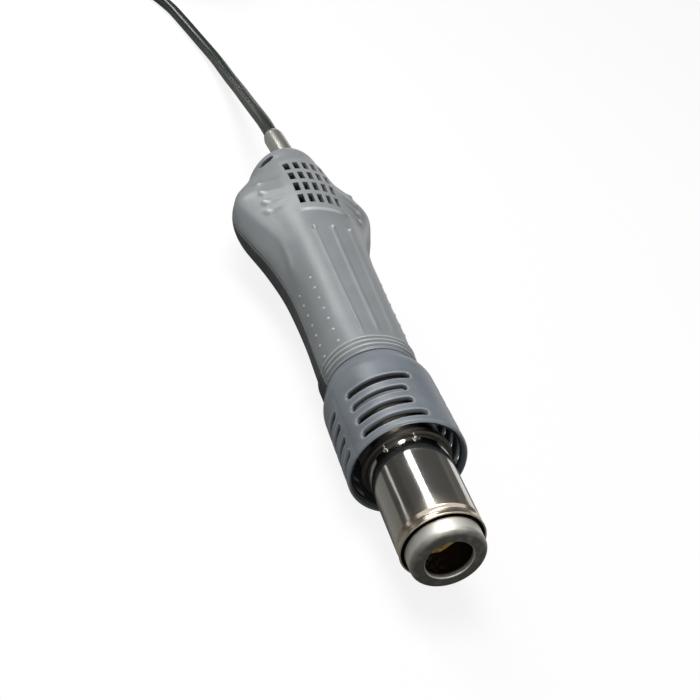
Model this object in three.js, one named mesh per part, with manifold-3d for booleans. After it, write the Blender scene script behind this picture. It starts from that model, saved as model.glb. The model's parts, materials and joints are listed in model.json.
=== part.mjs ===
// Hot air rework handset with its cord: a steel heater barrel in a slotted plastic guard, two handle
// shells around a small blower, and a cord that ends in a round five-pin connector.
// Millimetres. While it is modelled, +Y runs along the barrel from the tip to the cord, +Z is the vent
// side and the tip's front face is at y = 0. The finished group stands on z = 0, centred on the handset.
import * as THREE from 'three'
import { mergeVertices } from 'three/addons/utils/BufferGeometryUtils.js'
import Module from 'manifold-3d'

const wasm = await Module()
wasm.setup()

// Clearances, and the sides that round pieces of each size are given
const GAP = 0.3
const CUT = 1
const DEG = Math.PI / 180
const SKIN_SIDES = 32
const LINING_SIDES = 20
const LARGE_SIDES = 24
const MIDDLE_SIDES = 20
const DUCT_SIDES = 16
const SMALL_SIDES = 12
const CORD_SIDES = 10
const TINY_SIDES = 8
const COIL_SIDES = 6
const WIRE_SIDES = 5
const SLEEVE_SIDES = 32

// Driving dimensions: tip and barrel
const TIP_R = 11
const TIP_HOLE_R = 6.9
const TIP_EDGE = 2
const TIP_LENGTH = 18
const TIP_WALL = 0.4
const TIP_PROUD = 5.6
const TIP_ROOM = 0.8
const BARREL_WALL = 0.6
const BARREL_R = TIP_R + TIP_ROOM + BARREL_WALL
const BARREL_BEAD_Y = TIP_PROUD + 2.4
const BARREL_END_Y = 53.4
const FLANGE_THICK = 1.2
const BARREL_SCREW_R = 0.8
const BARREL_SCREW_HEAD_R = 1.4
const BARREL_SCREW_HEAD_LENGTH = 1.1
const BARREL_BOSS_R = 1.6
const BARREL_BOSS_LENGTH = 8
const BARREL_BOSS_END = 1.7
const BARREL_SCREW_CIRCLE_R = BARREL_R + BARREL_BOSS_R + 0.2
const BARREL_SCREW_ANGLES = [75, 195, 315]

// Driving dimensions: heater
const MICA_WALL = 0.4
const HEATER_FRONT_Y = 13
const HEATER_BASE_Y = BARREL_END_Y + 12.9
const HEATER_BASE_THICK = 4.7
const HEATER_BASE_NOSE = 2.3
const COIL_WIRE_R = 0.35
const COIL_TURNS = 9
const CORE_ARMS = 6
const AIR_HOLE_R = 1.8
const AIR_HOLE_CIRCLE_R = 5.2
const PROBE_R = 1

// Driving dimensions: guard, and the collar in its mouth
const GUARD_WALL = 1.9
const GUARD_BORE_R = BARREL_SCREW_CIRCLE_R + BARREL_BOSS_R + 0.5
const GUARD_FRONT_R = GUARD_BORE_R + GUARD_WALL
const GUARD_FRONT_Y = 35.8
const GUARD_RIM = 1
const GUARD_BACK_WALL = 1.6
const GUARD_BACK_LENGTH = 11.1
const SLOT_WIDTH = 2.6
const SLOT_PITCH = 5.6
const SLOT_FIRST_Y = GUARD_FRONT_Y + 4
const SLOT_ROWS = 4
const SLOT_SPAN = 68
const SLOT_GROUP_ANGLES = [16, 120, 207, 292]
const SHORT_SLOT_GROUP = 1
const SHORT_SLOT_ROWS = [1, 2]
const SHORT_SLOT_LOSS = 9
const COLLAR_Y = GUARD_FRONT_Y + 0.4
const COLLAR_LENGTH = 2.2
const COLLAR_WALL = 0.9
const COLLAR_TAB_WIDTH = 1.8
const COLLAR_TAB_ANGLES = [102, 144]

// Driving dimensions: handle shells
const SPIGOT_Y = BARREL_END_Y + GAP
const SPIGOT_R = BARREL_R + 0.8
const SPIGOT_WALL = 2.3
const GUARD_SEAT_Y = SPIGOT_Y + BARREL_BOSS_LENGTH + GAP
const NECK_R = SPIGOT_R + GAP + GUARD_BACK_WALL
const HANDLE_Y = GUARD_SEAT_Y + GUARD_BACK_LENGTH
const HANDLE_END_Y = 205.5
const DOME_Y = HANDLE_END_Y - 16
const DOME_POWER = 2.3
const BLEND_POWER = 7
const SHELL_WALL = 2.2
const RIDGE_YS = [1.9, 3.8, 5.5].map((back) => HANDLE_Y + back)
const RIDGE_HEIGHT = 0.5
const STRIP_FROM_Y = HANDLE_Y + 6.4
const STRIP_TO_Y = 140
const STRIP_PITCH_FRONT = 5.3
const STRIP_PITCH_BACK = 6.5
const STRIP_WIDTH = 1.5
const STRIP_HEIGHT = 0.6
const VENT_COLUMNS = 5
const VENT_ROWS = 4
const VENT_PITCH_X = 3.4
const VENT_PITCH_Y = 7.7
const VENT_WIDTH = 1.9
const VENT_LENGTH = 5.2
const VENT_FIRST_Y = 156.4
const REAR_SLOT_LENGTH = 4
const REAR_SLOT_WIDTH = 3
const REAR_SLOT_DEPTH = 12
const REAR_SLOT_Y = HANDLE_END_Y - 13.5

// Driving dimensions: the shells' screws and their bosses
const SHELL_SCREW_R = 1
const SHELL_BOSS_R = 2.4
const SHELL_SCREW_HEAD_R = 1.9
const SHELL_SCREW_HEAD_LENGTH = 1.4
const NECK_SCREW_X = 10.4
const NECK_SCREW_Y = 95
const LOBE_SCREW_X = 20.2
const LOBE_SCREW_Y = 163

// Driving dimensions: blower
const BLOWER_Y = 167
const BLOWER_R = 16.3
const BLOWER_WALL = 1.3
const BLOWER_BOTTOM_Z = -6.6
const BLOWER_TOP_Z = 5.4
const COVER_THICK = 1.2
const INLET_R = 9.2
const IMPELLER_R = 13
const IMPELLER_PLATE = 0.8
const HUB_R = 6.6
const HUB_WALL = 0.8
const BLADES = 11
const BLADE_THICK = 0.9
const BLADE_INSET = 2.6
const SHAFT_R = 1
const STATOR_CORE_R = 2.6
const STATOR_POLES = 6
const STATOR_POLE_WIDTH = 2
const BLOWER_BOARD_R = 8.5
const BLOWER_BOARD_THICK = 1
const EAR_R = 1.9
const EAR_CIRCLE_R = BLOWER_R + 1.3
const EAR_ANGLES = [90, 235, 305]
const BLOWER_SCREW_R = 0.8
const BLOWER_SCREW_HEAD_R = 1.5
const BLOWER_SCREW_HEAD_LENGTH = 1
const BLOWER_SCREW_LENGTH = 9
const MOUTH_HALF_WIDTH = 9
const DUCT_WALL = 0.9
const DUCT_FRONT_R = 8.2
const DUCT_MOUTH_Y = BLOWER_Y - 18

// Driving dimensions: wiring and cord fastening
const WIRE_R = 0.6
const LEAD_ANGLE = 30
const BOARD_Z = -2
const BOARD_THICK = 1.2
const BOARD_Y = HANDLE_END_Y - 18.3
const BOARD_LENGTH = 10.8
const BOARD_WIDTH = 16
const POST_R = 1.5
const POST_INSET = 2.6
const REED_R = 1.1
const REED_LENGTH = 9
const CORD_R = 2.8
const FERRULE_R = 4
const FERRULE_FROM = HANDLE_END_Y - 6
const FERRULE_TO = HANDLE_END_Y + 15.5
const FERRULE_CONE = 2.2
const EXIT_Y = HANDLE_END_Y + 1.5
const EXIT_Z = 9.3
const EXIT_FALL = 0.0945
const CLAMP_Y = HANDLE_END_Y - 14.5
const CLAMP_SCREW_X = 6.2
const CLAMP_SCREW_LENGTH = 6
const CLAMP_THICK = 2
const CLAMP_WIDTH = 4

// Driving dimensions: coil, tie and connector at the cord's far end
const COIL_X = 11
const COIL_Y = 467
const COIL_R = 35
const COIL_LOOPS = 4.25
const COIL_PITCH = 6.2
const COIL_LAYER = 6.2
const COIL_LIFT = 1
const TIE_THICK = 0.7
const TIE_WIDTH = 5
const PLUG_R = 9.3
const PLUG_SLEEVE_R = PLUG_R - 1.5
const PLUG_BACK_LENGTH = 21
const PLUG_NOSE = 3
const PLUG_RING_LENGTH = 15
const PLUG_RING_WALL = 1.6
const PLUG_GRIPS = 14
const PLUG_GRIP_DEPTH = 0.5
const PLUG_MOUTH = 4.6
const PIN_R = 0.9
const PIN_LENGTH = 6
const PIN_CIRCLE_R = 3.6
const PINS = 5

// Finishes
function finish(color, roughness, metalness) {
  return new THREE.MeshStandardMaterial({ color, roughness, metalness })
}
const GREY_PLASTIC = finish(0x80888c, 0.55, 0)
const BLACK_PLASTIC = finish(0x1c1e1f, 0.5, 0)
const STEEL = finish(0xb8b4ac, 0.25, 1)
const NICKEL = finish(0xc9c4b6, 0.22, 1)
const SCREW_STEEL = finish(0x9a9a98, 0.35, 1)
const MICA = finish(0x8a6a34, 0.4, 0)
const CERAMIC = finish(0xd8cfbc, 0.8, 0)
const HEAT_WIRE = finish(0x8c8378, 0.4, 1)
const BOARD_GREEN = finish(0x2b5a3a, 0.5, 0)
const COPPER = finish(0xa7683c, 0.4, 1)
const CORD_BLACK = finish(0x141a17, 0.35, 0)
const WIRE_RED = finish(0x9c2a22, 0.5, 0)
const WIRE_WHITE = finish(0xd5d2c8, 0.5, 0)
const GLASS_GREEN = finish(0x8fae9c, 0.15, 0)

// A solid from any closed three.js geometry, with its faces turned outwards.
function solid(geometry) {
  const bare = geometry.index ? geometry.toNonIndexed() : geometry.clone()
  bare.deleteAttribute('normal')
  bare.deleteAttribute('uv')
  const merged = mergeVertices(bare, 1e-4)
  const vertProperties = Float32Array.from(merged.attributes.position.array)
  const corners = Uint32Array.from(merged.index.array)
  const make = (triVerts) => new wasm.Manifold(new wasm.Mesh({ numProp: 3, vertProperties, triVerts }))
  const made = make(dropThin(corners))
  return made.volume() < 0 ? make(dropThin(corners).reverse()) : made
}

// The triangles that keep three different corners once shared vertices are merged.
function dropThin(corners) {
  const kept = []
  for (let i = 0; i < corners.length; i += 3) {
    const [a, b, c] = corners.subarray(i, i + 3)
    if (a !== b && b !== c && c !== a) kept.push(a, b, c)
  }
  return Uint32Array.from(kept)
}

function mesh(name, material, shape) {
  const { vertProperties, triVerts } = shape.getMesh()
  const geometry = new THREE.BufferGeometry()
  geometry.setAttribute('position', new THREE.BufferAttribute(new Float32Array(vertProperties), 3))
  geometry.setIndex(new THREE.BufferAttribute(new Uint32Array(triVerts), 1))
  geometry.computeVertexNormals()
  const node = new THREE.Mesh(geometry, material)
  node.name = name
  return node
}

// A box given by its lowest and highest corner.
function block(low, high) {
  const size = high.map((v, i) => v - low[i])
  const middle = high.map((v, i) => (v + low[i]) / 2)
  return solid(new THREE.BoxGeometry(...size).translate(...middle))
}

// A rod along Y, or along Z, between two heights.
function rodY(radius, from, to, x = 0, z = 0, sides = MIDDLE_SIDES) {
  return solid(new THREE.CylinderGeometry(radius, radius, to - from, sides).translate(x, (from + to) / 2, z))
}

function rodZ(radius, from, to, x = 0, y = 0, sides = SMALL_SIDES) {
  const rod = new THREE.CylinderGeometry(radius, radius, to - from, sides).rotateX(Math.PI / 2)
  return solid(rod.translate(x, y, (from + to) / 2))
}

// A turned shape around the Y axis from points [radius, y].
function turned(profile, sides = LARGE_SIDES) {
  const points = profile.map(([r, y]) => new THREE.Vector2(r, y))
  return solid(new THREE.LatheGeometry(points, sides))
}

// A ring turned around Y, as a profile that closes on itself.
function ring(inner, outer, from, to, sides = LARGE_SIDES) {
  return turned([[inner, from], [outer, from], [outer, to], [inner, to], [inner, from]], sides)
}

// A closed body from rings of points: side by side rings are joined and both ends are capped.
function lofted(rings) {
  const count = rings[0].length
  const points = rings.flat()
  const faces = []
  for (let i = 0; i + 1 < rings.length; i++) {
    for (let j = 0; j < count; j++) {
      const a = i * count + j
      const b = i * count + ((j + 1) % count)
      faces.push(a, b, b + count, a, b + count, a + count)
    }
  }
  for (const end of [0, rings.length - 1]) {
    const centre = points.length
    const middle = rings[end].reduce((sum, p) => sum.add(p), new THREE.Vector3()).divideScalar(count)
    points.push(middle)
    for (let j = 0; j < count; j++) {
      const a = end * count + j
      const b = end * count + ((j + 1) % count)
      faces.push(...(end === 0 ? [centre, b, a] : [centre, a, b]))
    }
  }
  const geometry = new THREE.BufferGeometry().setFromPoints(points)
  geometry.setIndex(faces)
  return solid(geometry)
}

// A round tube along a list of points, with flat ends square to its first and last step.
function tube(points, radius, sides) {
  const along = points.map((p, i) => {
    const before = points[Math.max(i - 1, 0)]
    const after = points[Math.min(i + 1, points.length - 1)]
    return after.clone().sub(before).normalize()
  })
  const side = new THREE.Vector3(0, 0, 1).cross(along[0])
  if (side.length() < 0.1) side.set(1, 0, 0)
  const rings = points.map((p, i) => {
    side.sub(along[i].clone().multiplyScalar(side.dot(along[i]))).normalize()
    const up = along[i].clone().cross(side)
    return Array.from({ length: sides }, (_, j) => {
      const a = (j / sides) * 2 * Math.PI
      const across = side.clone().multiplyScalar(radius * Math.cos(a))
      return p.clone().add(across).add(up.clone().multiplyScalar(radius * Math.sin(a)))
    })
  })
  return lofted(rings)
}

// A smooth curve through chosen points, as evenly spaced points no further apart than the step.
function route(points, step) {
  const curve = new THREE.CatmullRomCurve3(points.map((p) => new THREE.Vector3(...p)), false, 'centripetal')
  return curve.getSpacedPoints(Math.ceil(curve.getLength() / step))
}

// The value at y of a smooth line through stations [y, value].
function through(stations, y) {
  const last = stations.length - 1
  if (y <= stations[0][0]) return stations[0][1]
  if (y >= stations[last][0]) return stations[last][1]
  const i = stations.findIndex((s) => s[0] > y) - 1
  const slope = (k) => {
    const [a, b] = [stations[Math.max(k - 1, 0)], stations[Math.min(k + 1, last)]]
    return (b[1] - a[1]) / (b[0] - a[0])
  }
  const [[y0, v0], [y1, v1]] = [stations[i], stations[i + 1]]
  const span = y1 - y0
  const t = (y - y0) / span
  const rise = (3 - 2 * t) * t * t
  const ease = t * (1 - t)
  return v0 + (v1 - v0) * rise + span * ease * (slope(i) * (1 - t) - slope(i + 1) * t)
}

// Handle outline: half width of the spine, height of its crest, depth of its belly, and the two side
// lobes' reach and half height, each as stations [y, value]. The lobes' long axes turn up from the
// parting line by a few degrees, and the crest is squarer along the neck than an oval is.
const SPINE_SIDE = [[73, NECK_R], [84, NECK_R + 0.2], [100, NECK_R - 0.2], [116, NECK_R],
  [130, NECK_R + 0.4], [150, 17], [175, 16.6], [190, 14]]
const CREST = [[73, NECK_R], [100, NECK_R + 0.5], [125, NECK_R + 1.4], [150, 17.4], [175, 18], [190, 17.4]]
const BELLY = [[73, NECK_R], [95, NECK_R - 0.7], [120, NECK_R], [150, 17.9], [168, 19], [180, 18],
  [190, 15.5]]
const LOBE_SIDE = [[73, 8], [110, 9], [124, 13.5], [130, 15.4], [137, 17.4], [144, 20], [150, 22.4],
  [158, 25.2], [166, 26.5], [174, 24.4], [182, 20.9], [188, 17.2], [196, 10.5]]
const LOBE_HEIGHT = [[73, 5], [116, 7], [144, 11], [166, 13.8], [182, 9.5], [196, 6.2]]

const LOBE_TILT = [[73, 0], [125, 0], [144, -1.5], [158, 0.3], [172, 8.8], [186, 1], [200, 0]]
const CREST_SQUARENESS = [[73, 2], [90, 2.5], [110, 2.7], [130, 2.65], [155, 2.2], [180, 2.1], [200, 2]]

const SPIGOT_BORE_R = SPIGOT_R - SPIGOT_WALL
const MICA_R = TIP_R - TIP_WALL - GAP
const MICA_BORE_R = MICA_R - MICA_WALL
const FLOOR_Z = -GUARD_FRONT_R

// Distance from the middle of an oval to its edge; a power above two makes the oval squarer.
function ovalRadius(side, height, angle, power = 2) {
  const across = Math.abs(Math.cos(angle) / side) ** power
  const up = Math.abs(Math.sin(angle) / height) ** power
  return (across + up) ** (-1 / power)
}

// Height of the three rings round the front of the handle, which rise and fall in straight slopes.
function ridgeHeight(y) {
  const nearest = Math.min(...RIDGE_YS.map((middle) => Math.abs(y - middle)))
  return RIDGE_HEIGHT * Math.max(0, 1 - nearest / RIDGE_FOOT)
}

// Distance from the axis to the handle's outside, or to its inside when it is inset by a wall.
function handleRadius(y, angle, inset = 0) {
  const above = Math.sin(angle) >= 0
  const height = through(above ? CREST : BELLY, y)
  const spine = ovalRadius(through(SPINE_SIDE, y), height, angle, above ? through(CREST_SQUARENESS, y) : 2)
  const fromSide = Math.atan2(Math.sin(angle), Math.abs(Math.cos(angle))) - through(LOBE_TILT, y) * DEG
  const lobe = ovalRadius(through(LOBE_SIDE, y), through(LOBE_HEIGHT, y), fromSide)
  const full = (spine ** BLEND_POWER + lobe ** BLEND_POWER) ** (1 / BLEND_POWER)
  const into = Math.max(0, (y - DOME_Y) / (HANDLE_END_Y - inset - DOME_Y))
  return (full - inset) * Math.max(0, 1 - into ** DOME_POWER) ** (1 / DOME_POWER)
}

// Rows of the handle's skin: even along the neck, closer where the dome rounds off.
function handleRows(from, end, steps) {
  const rows = []
  for (let i = 0; i <= steps; i++) rows.push(from + ((DOME_Y - from) * i) / steps)
  const domeSteps = 5
  for (let i = 1; i <= domeSteps; i++) {
    rows.push(DOME_Y + (end - DOME_Y) * Math.sin((i / domeSteps) * 90 * DEG))
  }
  return rows
}

// The rows at the tops and feet of the front rings.
const RIDGE_FOOT = (RIDGE_YS[1] - RIDGE_YS[0]) / 2
const ridgeRows = [RIDGE_YS[0] - RIDGE_FOOT, ...RIDGE_YS.flatMap((y) => [y, y + RIDGE_FOOT])]

// The closed body inside the handle's outer skin, or inside its inner skin when inset.
function handleBody(inset, rows, sides) {
  const rings = rows.map((y) => Array.from({ length: sides }, (_, j) => {
    const angle = (j / sides) * 2 * Math.PI
    const raised = inset ? 0 : ridgeHeight(y)
    const r = Math.max(handleRadius(y, angle, inset), 0.01) + raised
    return new THREE.Vector3(r * Math.cos(angle), y, r * Math.sin(angle))
  }))
  return lofted(rings)
}

const outerRows = [HANDLE_Y, ...ridgeRows, ...handleRows(STRIP_FROM_Y + 2, HANDLE_END_Y, 15)]
const outerBody = handleBody(0, outerRows, SKIN_SIDES)
const innerRows = handleRows(HANDLE_Y + SHELL_WALL, HANDLE_END_Y - SHELL_WALL, 9)
const innerBody = handleBody(SHELL_WALL, innerRows, LINING_SIDES)

// A raised strip along the crest; the middle one is straight and the outer two spread to the rear.
function crestStrip(index) {
  const rings = []
  const steps = 5
  for (let i = 0; i <= steps; i++) {
    const y = STRIP_FROM_Y + ((STRIP_TO_Y - STRIP_FROM_Y) * i) / steps
    const pitch = STRIP_PITCH_FRONT + ((STRIP_PITCH_BACK - STRIP_PITCH_FRONT) * i) / steps
    const middle = 90 * DEG - (index * pitch) / through(CREST, y)
    const half = STRIP_WIDTH / 2 / through(CREST, y)
    const high = i === 0 || i === steps ? 0 : STRIP_HEIGHT
    const at = (angle, lift) => {
      const r = handleRadius(y, angle) + lift
      return new THREE.Vector3(r * Math.cos(angle), y, r * Math.sin(angle))
    }
    const root = -SHELL_WALL / 2
    rings.push([at(middle + half, root), at(middle + half * 0.7, high), at(middle - half * 0.7, high),
      at(middle - half, root)])
  }
  return lofted(rings)
}

function ventHoles() {
  const holes = []
  for (let row = 0; row < VENT_ROWS; row++) {
    for (let column = 0; column < VENT_COLUMNS; column++) {
      const x = (column - (VENT_COLUMNS - 1) / 2) * VENT_PITCH_X
      const y = VENT_FIRST_Y + row * VENT_PITCH_Y
      holes.push(block([x - VENT_WIDTH / 2, y - VENT_LENGTH / 2, BLOWER_TOP_Z + SHELL_WALL],
        [x + VENT_WIDTH / 2, y + VENT_LENGTH / 2, GUARD_FRONT_R + CUT]))
    }
  }
  return holes
}

// The place of the cord's axis where it runs straight through the rear of the handle.
const exitZ = (y) => EXIT_Z - EXIT_FALL * (y - EXIT_Y)
const exitTilt = -Math.atan(EXIT_FALL)

// A turned piece on the cord's straight exit: its profile runs along that axis.
function onExit(profile, sides) {
  const points = profile.map(([r, y]) => new THREE.Vector2(r, (y - EXIT_Y) / Math.cos(exitTilt)))
  const shape = new THREE.LatheGeometry(points, sides).rotateX(exitTilt)
  return solid(shape.translate(0, EXIT_Y, EXIT_Z))
}

// Two narrow slots across the rear dome beside the cord's exit, cut straight down past the clamp's bosses.
function rearSlot(sign) {
  const from = CLAMP_SCREW_X + EAR_R + GAP
  const half = REAR_SLOT_WIDTH / 2
  const low = [from, REAR_SLOT_Y - half, through(CREST, REAR_SLOT_Y) - REAR_SLOT_DEPTH]
  const slot = block(low, [from + REAR_SLOT_LENGTH, REAR_SLOT_Y + half, REACH])
  return sign > 0 ? slot : slot.mirror([1, 0, 0])
}

const shellScrews = [-1, 1].flatMap((sign) => [
  { x: sign * NECK_SCREW_X, y: NECK_SCREW_Y, headZ: -7.4, topZ: 6.2 },
  { x: sign * LOBE_SCREW_X, y: LOBE_SCREW_Y, headZ: -4.2, topZ: 3.6 },
])
const earPlaces = EAR_ANGLES.map((angle) => [
  EAR_CIRCLE_R * Math.cos(angle * DEG), BLOWER_Y + EAR_CIRCLE_R * Math.sin(angle * DEG)])
const boardPosts = [-1, 1].map((sign) => [sign * (BOARD_WIDTH / 2 - POST_INSET), BOARD_Y + BOARD_LENGTH / 2])
const barrelScrewPlaces = BARREL_SCREW_ANGLES.map((angle) => [
  BARREL_SCREW_CIRCLE_R * Math.cos(angle * DEG), BARREL_SCREW_CIRCLE_R * Math.sin(angle * DEG)])

// The barrel's screw holes end inside their bosses.
const BARREL_HOLE_END_Y = SPIGOT_Y + BARREL_BOSS_LENGTH - BARREL_BOSS_END

// What both shells share before they are parted: skin, front wall, spigot and the barrel's bosses.
function wholeHandle() {
  let whole = outerBody.add(rodY(SPIGOT_R, SPIGOT_Y, HANDLE_Y + CUT, 0, 0, MIDDLE_SIDES))
  for (const [x, z] of barrelScrewPlaces) {
    whole = whole.add(rodY(BARREL_BOSS_R, SPIGOT_Y, SPIGOT_Y + BARREL_BOSS_LENGTH, x, z, SMALL_SIDES))
  }
  whole = whole.subtract(innerBody)
  whole = whole.subtract(rodY(SPIGOT_BORE_R, SPIGOT_Y - CUT, HANDLE_Y + SHELL_WALL + CUT, 0, 0, MIDDLE_SIDES))
  for (const [x, z] of barrelScrewPlaces) {
    whole = whole.subtract(rodY(BARREL_SCREW_R + GAP, SPIGOT_Y - CUT, BARREL_HOLE_END_Y, x, z, TINY_SIDES))
  }
  return whole
}

const whole = wholeHandle()

// Further out from the axis than any of the handle.
const REACH = HANDLE_END_Y / 2
const halfSpace = (sign) => block([-REACH, SPIGOT_Y - CUT, sign > 0 ? GAP / 2 : -REACH],
  [REACH, HANDLE_END_Y + CUT, sign > 0 ? REACH : -GAP / 2])
const CLAMP_TOP_Z = exitZ(CLAMP_Y) - CORD_R - GAP

function upperShell() {
  let shell = whole
  for (const index of [-1, 0, 1]) shell = shell.add(crestStrip(index))
  for (const { x, y, topZ } of shellScrews) {
    shell = shell.add(rodZ(SHELL_BOSS_R, 0, REACH, x, y).intersect(outerBody))
    shell = shell.subtract(rodZ(SHELL_SCREW_R + GAP, -CUT, topZ + GAP, x, y, TINY_SIDES))
  }
  for (const sign of [-1, 1]) {
    const x = sign * CLAMP_SCREW_X
    shell = shell.add(rodZ(EAR_R, CLAMP_TOP_Z + GAP, REACH, x, CLAMP_Y).intersect(outerBody))
    const holeEnd = CLAMP_TOP_Z - CLAMP_THICK + CLAMP_SCREW_LENGTH + 1
    shell = shell.subtract(rodZ(BLOWER_SCREW_R + GAP, CLAMP_TOP_Z - CUT, holeEnd, x, CLAMP_Y, TINY_SIDES))
    shell = shell.subtract(rearSlot(sign))
  }
  for (const hole of ventHoles()) shell = shell.subtract(hole)
  shell = shell.subtract(onExit([[0, CLAMP_Y + EAR_R + CUT], [FERRULE_R + GAP, CLAMP_Y + EAR_R + CUT],
    [FERRULE_R + GAP, FERRULE_TO], [0, FERRULE_TO]], MIDDLE_SIDES))
  return shell.intersect(halfSpace(1))
}

function lowerShell() {
  let shell = whole
  for (const { x, y, headZ } of shellScrews) {
    shell = shell.add(rodZ(SHELL_BOSS_R, -REACH, 0, x, y).intersect(outerBody))
    shell = shell.subtract(rodZ(SHELL_SCREW_R + GAP, -REACH, CUT, x, y, TINY_SIDES))
    shell = shell.subtract(rodZ(SHELL_SCREW_HEAD_R + GAP, -REACH, headZ, x, y, SMALL_SIDES))
  }
  for (const [x, y] of earPlaces) {
    shell = shell.add(rodZ(EAR_R, -REACH, BLOWER_BOTTOM_Z - GAP, x, y, TINY_SIDES).intersect(outerBody))
  }
  for (const [x, y] of boardPosts) {
    shell = shell.add(rodZ(POST_R, -REACH, BOARD_Z - GAP, x, y, TINY_SIDES).intersect(outerBody))
  }
  const floor = block([-REACH, SPIGOT_Y - CUT, -REACH], [REACH, HANDLE_END_Y + CUT, FLOOR_Z])
  return shell.subtract(floor).intersect(halfSpace(-1))
}

function frontGuard() {
  const end = HANDLE_Y - GAP
  const flareY = end - 10.3
  let guard = turned([
    [GUARD_BORE_R, GUARD_FRONT_Y + 0.4], [GUARD_BORE_R + 0.4, GUARD_FRONT_Y],
    [GUARD_FRONT_R - GUARD_RIM, GUARD_FRONT_Y], [GUARD_FRONT_R - 0.3, GUARD_FRONT_Y + 0.3],
    [GUARD_FRONT_R, GUARD_FRONT_Y + GUARD_RIM], [GUARD_FRONT_R - 0.2, (GUARD_FRONT_Y + flareY) / 2],
    [GUARD_FRONT_R - 0.4, flareY], [GUARD_FRONT_R - 0.6, flareY + 3.1], [NECK_R + 1.5, flareY + 6.3],
    [NECK_R, flareY + 9.1], [NECK_R, end],
    [SPIGOT_R + GAP, end], [SPIGOT_R + GAP, GUARD_SEAT_Y], [GUARD_BORE_R, GUARD_SEAT_Y],
    [GUARD_BORE_R, GUARD_FRONT_Y + 0.4],
  ])
  SLOT_GROUP_ANGLES.forEach((middle, group) => {
    for (let row = 0; row < SLOT_ROWS; row++) {
      const short = group === SHORT_SLOT_GROUP && SHORT_SLOT_ROWS.includes(row)
      const from = middle - SLOT_SPAN / 2 + (short ? SHORT_SLOT_LOSS : 0)
      guard = guard.subtract(guardSlot(from, middle + SLOT_SPAN / 2, SLOT_FIRST_Y + row * SLOT_PITCH))
    }
  })
  return guard
}

// A slot across the guard's wall between two angles: a sector of a thick ring, with rounded ends.
function guardSlot(from, to, y) {
  const [near, far] = [GUARD_BORE_R - 1.2, GUARD_FRONT_R + 4]
  const ends = (SLOT_WIDTH / 2 / GUARD_FRONT_R) / DEG
  const angles = [from, from + ends, to - ends, to]
  const rings = angles.map((degrees, i) => {
    const angle = degrees * DEG
    const halfWidth = (i === 0 || i === angles.length - 1 ? 0.45 : 1) * SLOT_WIDTH / 2
    const corner = (r, dy) => new THREE.Vector3(r * Math.cos(angle), y + dy, r * Math.sin(angle))
    return [corner(near, -halfWidth), corner(far, -halfWidth),
      corner(far, halfWidth), corner(near, halfWidth)]
  })
  return lofted(rings)
}

function nozzleTip() {
  const inner = TIP_R - TIP_WALL
  const edge = (angle, r) => [TIP_R - TIP_EDGE + r * Math.sin(angle), TIP_EDGE - r * Math.cos(angle)]
  const outside = [0, 45, 90].map((degrees) => edge(degrees * DEG, TIP_EDGE))
  const inside = [90, 0].map((degrees) => edge(degrees * DEG, TIP_EDGE - TIP_WALL))
  return turned([[TIP_HOLE_R, 1.3], [TIP_HOLE_R + 0.3, 0.3], [TIP_HOLE_R + 0.8, 0], ...outside,
    [TIP_R, TIP_LENGTH], [inner, TIP_LENGTH], ...inside, [TIP_HOLE_R + 1, TIP_WALL], [TIP_HOLE_R + 0.5, 1.3],
    [TIP_HOLE_R, 1.3]])
}

function barrelTube() {
  const inner = BARREL_R - BARREL_WALL
  const bead = TIP_R + GAP
  const flange = BARREL_END_Y - FLANGE_THICK
  let barrel = turned([[inner, TIP_PROUD + 0.3], [inner + 0.3, TIP_PROUD], [BARREL_R, TIP_PROUD + 0.4],
    [BARREL_R, BARREL_BEAD_Y - 1], [bead + BARREL_WALL, BARREL_BEAD_Y], [BARREL_R, BARREL_BEAD_Y + 1],
    [BARREL_R, BARREL_END_Y], [inner, BARREL_END_Y], [inner, BARREL_BEAD_Y + 1], [bead, BARREL_BEAD_Y],
    [inner, BARREL_BEAD_Y - 1], [inner, TIP_PROUD + 0.3]])
  for (const [x, z] of barrelScrewPlaces) {
    const ear = rodY(BARREL_BOSS_R, flange, BARREL_END_Y, x, z, SMALL_SIDES)
    const webLow = [-BARREL_BOSS_R, flange, inner + 0.2]
    const web = block(webLow, [BARREL_BOSS_R, BARREL_END_Y, BARREL_SCREW_CIRCLE_R])
    barrel = barrel.add(ear).add(web.rotate([0, Math.atan2(x, z) / DEG, 0]))
  }
  for (const [x, z] of barrelScrewPlaces) {
    barrel = barrel.subtract(rodY(BARREL_SCREW_R + GAP, flange - CUT, BARREL_END_Y + CUT, x, z, TINY_SIDES))
  }
  return barrel
}

// The ring pressed on the barrel inside the guard's mouth, with two bent tabs.
function barrelCollar() {
  const inner = BARREL_R + GAP
  let collar = ring(inner, inner + COLLAR_WALL, COLLAR_Y, COLLAR_Y + COLLAR_LENGTH)
  for (const angle of COLLAR_TAB_ANGLES) {
    const half = COLLAR_TAB_WIDTH / 2
    const tab = block([-half, COLLAR_Y - 1.4, inner + 0.1], [half, COLLAR_Y + 0.6, inner + COLLAR_WALL])
    collar = collar.add(tab.rotate([0, 90 - angle, 0]))
  }
  return collar
}

function screw(shankR, headR, headLength, length) {
  const slot = block([-headR, -headLength - CUT, -0.25], [headR, -headLength * 0.55, 0.25])
  const body = turned([[0, -headLength], [headR * 0.7, -headLength], [headR, -headLength * 0.6], [headR, 0],
    [shankR, 0], [shankR, length - shankR], [0, length]], TINY_SIDES)
  return body.subtract(slot)
}

function barrelScrew([x, z]) {
  const headY = BARREL_END_Y - FLANGE_THICK - GAP
  const length = BARREL_HOLE_END_Y - 0.1 - headY
  return screw(BARREL_SCREW_R, BARREL_SCREW_HEAD_R, BARREL_SCREW_HEAD_LENGTH, length).translate([x, headY, z])
}

// Screws that run along Z are turned from the ones made along Y.
function uprightScrew(shape, x, y, z, up) {
  return shape.rotate([up ? 90 : -90, 0, 0]).translate([x, y, z])
}

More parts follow.
